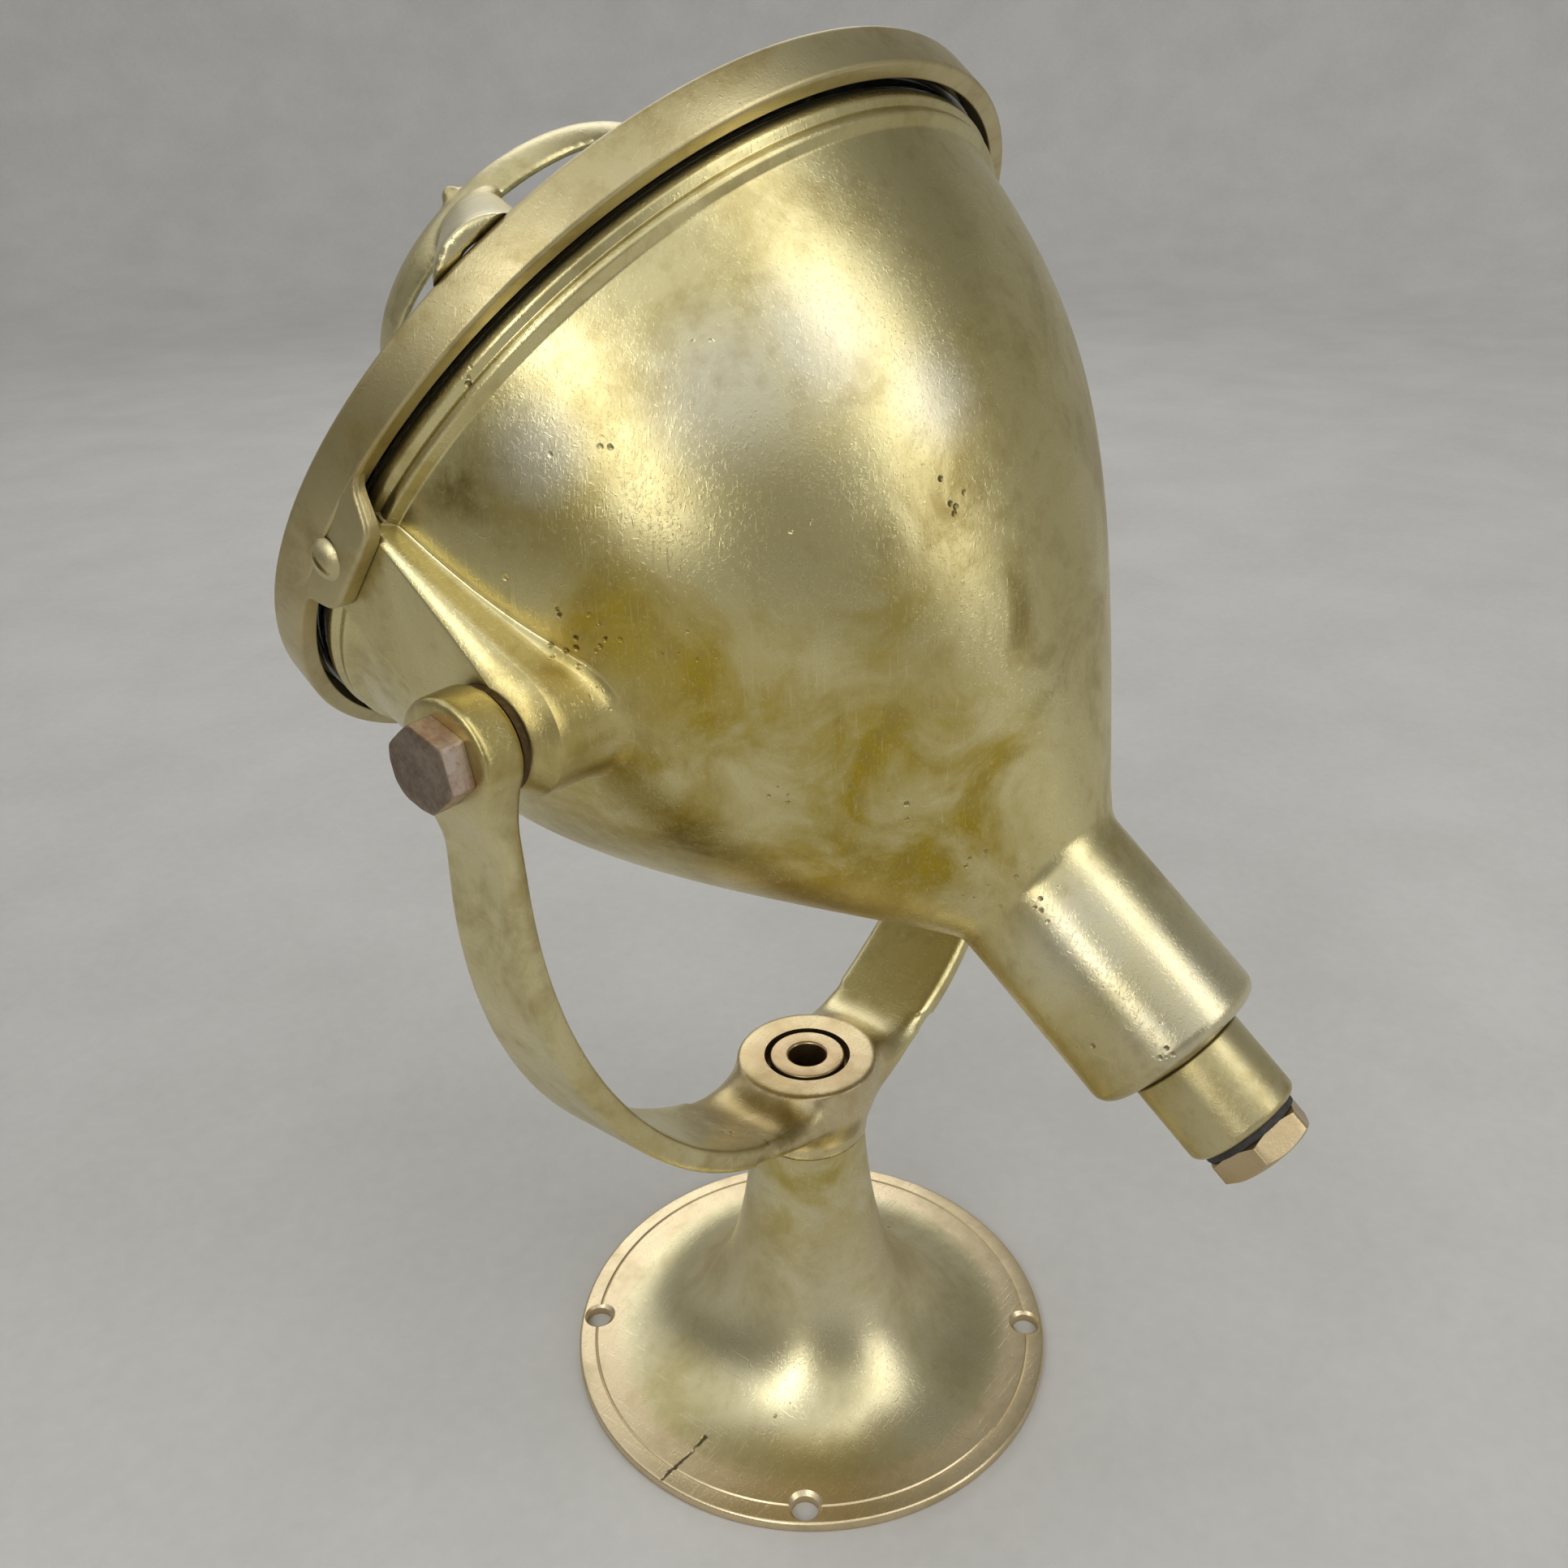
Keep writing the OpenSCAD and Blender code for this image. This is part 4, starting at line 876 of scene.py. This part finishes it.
def makeGuard(p):
    bm = bmesh.new()
    lean = math.radians(p["slope"])
    along, out = Vector((-math.cos(lean), math.sin(lean))), Vector((math.sin(lean), math.cos(lean)))
    start = Vector((p["radius"], p["base"] + p["rise"]))
    skin = []
    for i in range(13):
        t = i / 12
        skin.append(start + along * p["width"] * t + out * p["swell"] * (1 - (2 * t - 1) ** 2))
    inside = [start + along * p["width"] * t - out * p["edge"] for t in (1.0, 0.5, 0.0)]
    spinProfile(bm, [tuple(q) for q in skin + inside], 160)
    stations = [-1.5 + (p["legLength"] + 8.0) * i / 24 for i in range(25)]
    for k in range(p["legCount"]):
        turn = math.radians(360 / p["legCount"] * k - p["legTurn"])
        sweepRings(bm, [[legPoint(p, turn, u, v, h) for v, h in legSection(p, u)] for u in stations])
        top = start + along * p["width"] + Vector((p["swell"], -p["swell"] / 2))
        knob = Matrix.Rotation(turn, 4, "Z") @ moveBy(top.x, 0, top.y)
        bmesh.ops.create_uvsphere(bm, u_segments=24, v_segments=16, radius=p["stud"], matrix=knob)
    cleanMesh(bm)
    body = looseObject(bm, "guardCasting")
    fuse(body, p["voxel"], p["rounds"])
    floor = bmesh.new()
    bmesh.ops.create_cube(floor, size=1.0, matrix=moveBy(0, 0, p["base"] - 25) @ Matrix.Diagonal((300, 300, 50, 1)))
    carve(body, looseObject(floor, "cut"))
    return settle(body, headPlace, yokeFinish, "head", ["guard"], 45)


makeGuard(guard)
print("guard made")

# trunnion bolts
bolt = {"flats": 17.0, "seat": 119.4, "head": 6.3, "shank": 5.0, "tip": 91.0, "faceRadius": 8.7, "turn": (41, 12)}


def makeBolt(name, side, turn, p, node):
    head = hexPrism(name, p["flats"], p["seat"] + 0.05, p["head"], turn, 0.5)
    top = p["seat"] + p["head"]
    r = p["flats"] / 2
    cone = roundedLine([(0, p["seat"] - 1, 0), (r + 4, p["seat"] - 1, 0), (r + 4, top - 2.2, 0),
                        (p["faceRadius"], top, 0.4), (0, top, 0)])
    carve(head, turned("cone", cone, 72, False), "INTERSECT")
    shank = roundedLine([(0, p["tip"], 0), (p["shank"], p["tip"], 0.8), (p["shank"], p["seat"] + 1, 0),
                         (0, p["seat"] + 1, 0)])
    addTurned(head, shank, 40, False)
    place = toMetres @ moveBy(0, 0, trunnionHeight) @ turnBy(90 * side, "Y")
    return settle(head, place, boltFinish, "head", [node], 26)


makeBolt("trunnionBoltLeft", -1, bolt["turn"][0], bolt, "trunnion_bolt_left")
makeBolt("trunnionBoltRight", 1, bolt["turn"][1], bolt, "trunnion_bolt_right")
print("trunnion bolts made")

# cable gland at the tail
gland = {"top": -149.5, "end": -172.0, "radius": 15.2, "bore": 9.05, "ringEnd": -174.0, "ringRadius": 12.8,
         "nutEnd": -181.0, "nutFlats": 24.0, "entry": 6.0, "spigot": 9.0}


def makeGland(p):
    profile = roundedLine([(p["bore"], p["top"], 0), (p["radius"], p["top"], 0.6), (p["radius"], p["end"], 2.2),
                           (p["bore"], p["end"], 0.4)], True, 8)
    settle(turned("glandBody", profile, 96), headPlace, trimFinish, "head", ["gland_body"])
    profile = roundedLine([(p["spigot"] + 0.3, p["end"], 0), (p["ringRadius"], p["end"], 0.4),
                           (p["ringRadius"], p["ringEnd"], 0.4), (p["spigot"] + 0.3, p["ringEnd"], 0)], True)
    settle(turned("glandSeal", profile, 64), headPlace, rubberFinish, "head", ["gland_ring"])
    r = p["nutFlats"] / 2
    nut = hexPrism("glandNut", p["nutFlats"], p["nutEnd"], p["ringEnd"] - p["nutEnd"], 0, 0.7)
    cone = roundedLine([(p["entry"], p["nutEnd"], 0.8), (r - 0.6, p["nutEnd"], 0.6),
                        (r + 2.4, p["nutEnd"] + 1.9, 0), (r + 2.4, p["ringEnd"] - 1.2, 0),
                        (r + 0.2, p["ringEnd"], 0.4), (p["entry"], p["ringEnd"], 0)], True)
    carve(nut, turned("cone", cone, 72), "INTERSECT")
    stem = [(p["entry"], p["ringEnd"] - 0.5), (p["spigot"], p["ringEnd"] - 0.5),
            (p["spigot"], p["end"] + 6), (p["entry"], p["end"] + 6)]
    addTurned(nut, stem, 48)
    settle(nut, headPlace, nutFinish, "head", ["gland_nut"], 28)


makeGland(gland)
print("gland made")

# dish and lamp behind the glass
dish = {"mouth": 96.4, "hole": 23.0, "focal": 24.0, "rim": 54.2, "flange": 104.0, "wall": 0.8}


def makeDish(p):
    vertex = p["rim"] - p["mouth"] ** 2 / (4 * p["focal"])
    front = [(r, vertex + r * r / (4 * p["focal"])) for r in
             [p["hole"] + (p["mouth"] - p["hole"]) * i / 60 for i in range(61)]]
    back = [(r + 0.5, s - 0.75) for r, s in front[1:-1]]
    profile = front + [(p["mouth"], p["rim"] + p["wall"]), (p["flange"], p["rim"] + p["wall"]),
                       (p["flange"], p["rim"])] + back[::-1]
    return settle(turned("reflectorDish", profile, 160), headPlace, silverFinish, "head", ["reflector"])


makeDish(dish)

globe = {"centre": -18.6, "radius": 25.0, "neck": 12.4, "neckFrom": -69.0, "wall": 0.8}


def makeGlobe(p):
    low = math.degrees(math.asin(p["neck"] / p["radius"])) - 90
    bulb = arcPoints(0, p["centre"], p["radius"], low + 14, 90, 40)[:-1]
    outer = roundedLine([(p["neck"], p["neckFrom"], 0), (p["neck"], p["centre"] - p["radius"] * 0.9, 6)]
                        + [(r, s, 0) for r, s in bulb])
    outer.append((0, p["centre"] + p["radius"]))
    inner = [(max(r - p["wall"], 0), s - (p["wall"] if s > p["centre"] + 20 else 0)) for r, s in outer]
    return settle(turned("lampGlobe", outer + inner[::-1], 96), headPlace, globeFinish, "head",
                  ["lamp_globe"])


makeGlobe(globe)
print("dish and lamp made")

# solids that show as they are
nodeFinish = {
    "pivot_washer": trimFinish, "pivot_nut": trimFinish, "friction_washer_left": bronzeFinish,
    "friction_washer_right": bronzeFinish, "lens_glass": glassFinish, "front_gasket": rubberFinish,
    "rear_gasket": rubberFinish, "lamp_cap": trimFinish, "lamp_filament": wireFinish, "socket_shell": trimFinish,
    "socket_contact": trimFinish, "lamp_holder": porcelainFinish, "holder_screws": wireFinish,
    "terminal_screws": trimFinish, "gland_washer": trimFinish, "gland_grommet": rubberFinish,
}
for node, finish in nodeFinish.items():
    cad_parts[node].data.materials.clear()
    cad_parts[node].data.materials.append(finish)
print("solids dressed:", len(nodeFinish))

# floor, light and camera
floorLook = {"flat": 2.2, "cove": 0.9, "top": 1.7, "light": colour(0.60, 0.585, 0.555),
             "deep": colour(0.54, 0.53, 0.50)}


def makeFloor(p):
    # a round studio sweep: flat floor, cove and low wall
    line = [(0, 0)] + arcPoints(p["flat"], p["cove"], p["cove"], -90, 0, 24)
    line.append((p["flat"] + p["cove"], p["top"]))
    sweep = turned("floor", line, 128, False)
    for face in sweep.data.polygons:
        face.use_smooth = True
    material, tree, shader, coords = startMaterial("pale floor", 0.0, 0.85)
    cloud = noiseOf(tree, coords, 9, 6, 0.62)
    speck = noiseOf(tree, coords, 160, 3, 0.6)
    mottle = weighOf(tree, cloud, 0.7, speck)
    tree.links.new(blendOf(tree, rangeOf(tree, mottle, 0.38, 0.62), p["light"], p["deep"]),
                   shader.inputs["Base Color"])
    sweep.data.materials.append(material)


makeFloor(floorLook)

skyLook = {"zenith": colour(0.86, 0.87, 0.88), "horizon": colour(0.55, 0.56, 0.57),
           "dusk": colour(0.21, 0.21, 0.20),
           "duskSide": (0.74, -0.33, 0.58), "strength": 0.96}


def makeSky(p):
    world = bpy.data.worlds.new("studio")
    bpy.context.scene.world = world
    world.use_nodes = True
    tree = world.node_tree
    back = tree.nodes["Background"]
    way = addNode(tree, "ShaderNodeTexCoord").outputs["Generated"]
    height = addNode(tree, "ShaderNodeSeparateXYZ", {0: way}).outputs["Z"]
    side = vectorOf(tree, "DOT_PRODUCT", "Value", way, p["duskSide"])
    overhead = blendOf(tree, rangeOf(tree, height, 0.0, 0.75), p["horizon"], p["zenith"])
    tree.links.new(blendOf(tree, rangeOf(tree, side, 0.45, 0.9), overhead, p["dusk"]), back.inputs["Color"])
    back.inputs["Strength"].default_value = p["strength"]


makeSky(skyLook)

lamps = [
    # name, place, aim, long axis, width, length, watts
    ("tallPanel", (0.19, -1.08, 1.15), (0.0, 0.0, 0.28), (-0.15, 0.85, 2.1), 0.55, 2.2, 6.8),
    ("sidePanel", (-1.10, -0.33, 0.86), (0.0, 0.0, 0.28), (0.22, 0.73, 0.87), 0.30, 1.3, 3.8),
    ("backPanel", (1.15, 1.15, 1.15), (0.0, 0.0, 0.2), (0.0, 0.0, 1.0), 1.2, 0.8, 3.6),
]


def makeLamp(name, place, aim, axis, width, length, watts):
    light = bpy.data.lights.new(name, "AREA")
    light.shape = "RECTANGLE"
    light.size, light.size_y = width, length
    light.energy = watts
    obj = bpy.data.objects.new(name, light)
    bpy.context.scene.collection.objects.link(obj)
    back = (Vector(place) - Vector(aim)).normalized()
    across = Vector(axis).cross(back).normalized()
    turn = Matrix((across, back.cross(across), back)).transposed().to_4x4()
    obj.matrix_world = Matrix.Translation(place) @ turn
    obj.visible_camera = False


for lamp in lamps:
    makeLamp(*lamp)

view = {
    "place": (-0.2839, -0.2164, 0.3891), "right": (0.6106, -0.7917, -0.0189), "up": (0.4039, 0.2908, 0.8674),
    "focal": 1778.04, "middleY": 1069.35, "frame": 1932.0, "sensor": 36.0,
}


def makeCamera(p):
    camera = bpy.data.cameras.new("photoView")
    obj = bpy.data.objects.new("photoView", camera)
    bpy.context.scene.collection.objects.link(obj)
    camera.sensor_fit = "HORIZONTAL"
    camera.sensor_width = p["sensor"]
    camera.lens = p["sensor"] * p["focal"] / p["frame"]
    camera.shift_y = (p["middleY"] - p["frame"] / 2) / p["frame"]
    camera.clip_start, camera.clip_end = 0.02, 60.0
    right, up = Vector(p["right"]).normalized(), Vector(p["up"]).normalized()
    back = right.cross(up)
    turn = Matrix((right, up, back)).transposed().to_4x4()
    obj.matrix_world = Matrix.Translation(p["place"]) @ turn
    bpy.context.scene.camera = obj


makeCamera(view)
bpy.context.scene.view_settings.view_transform = "Standard"
print("stage lit")
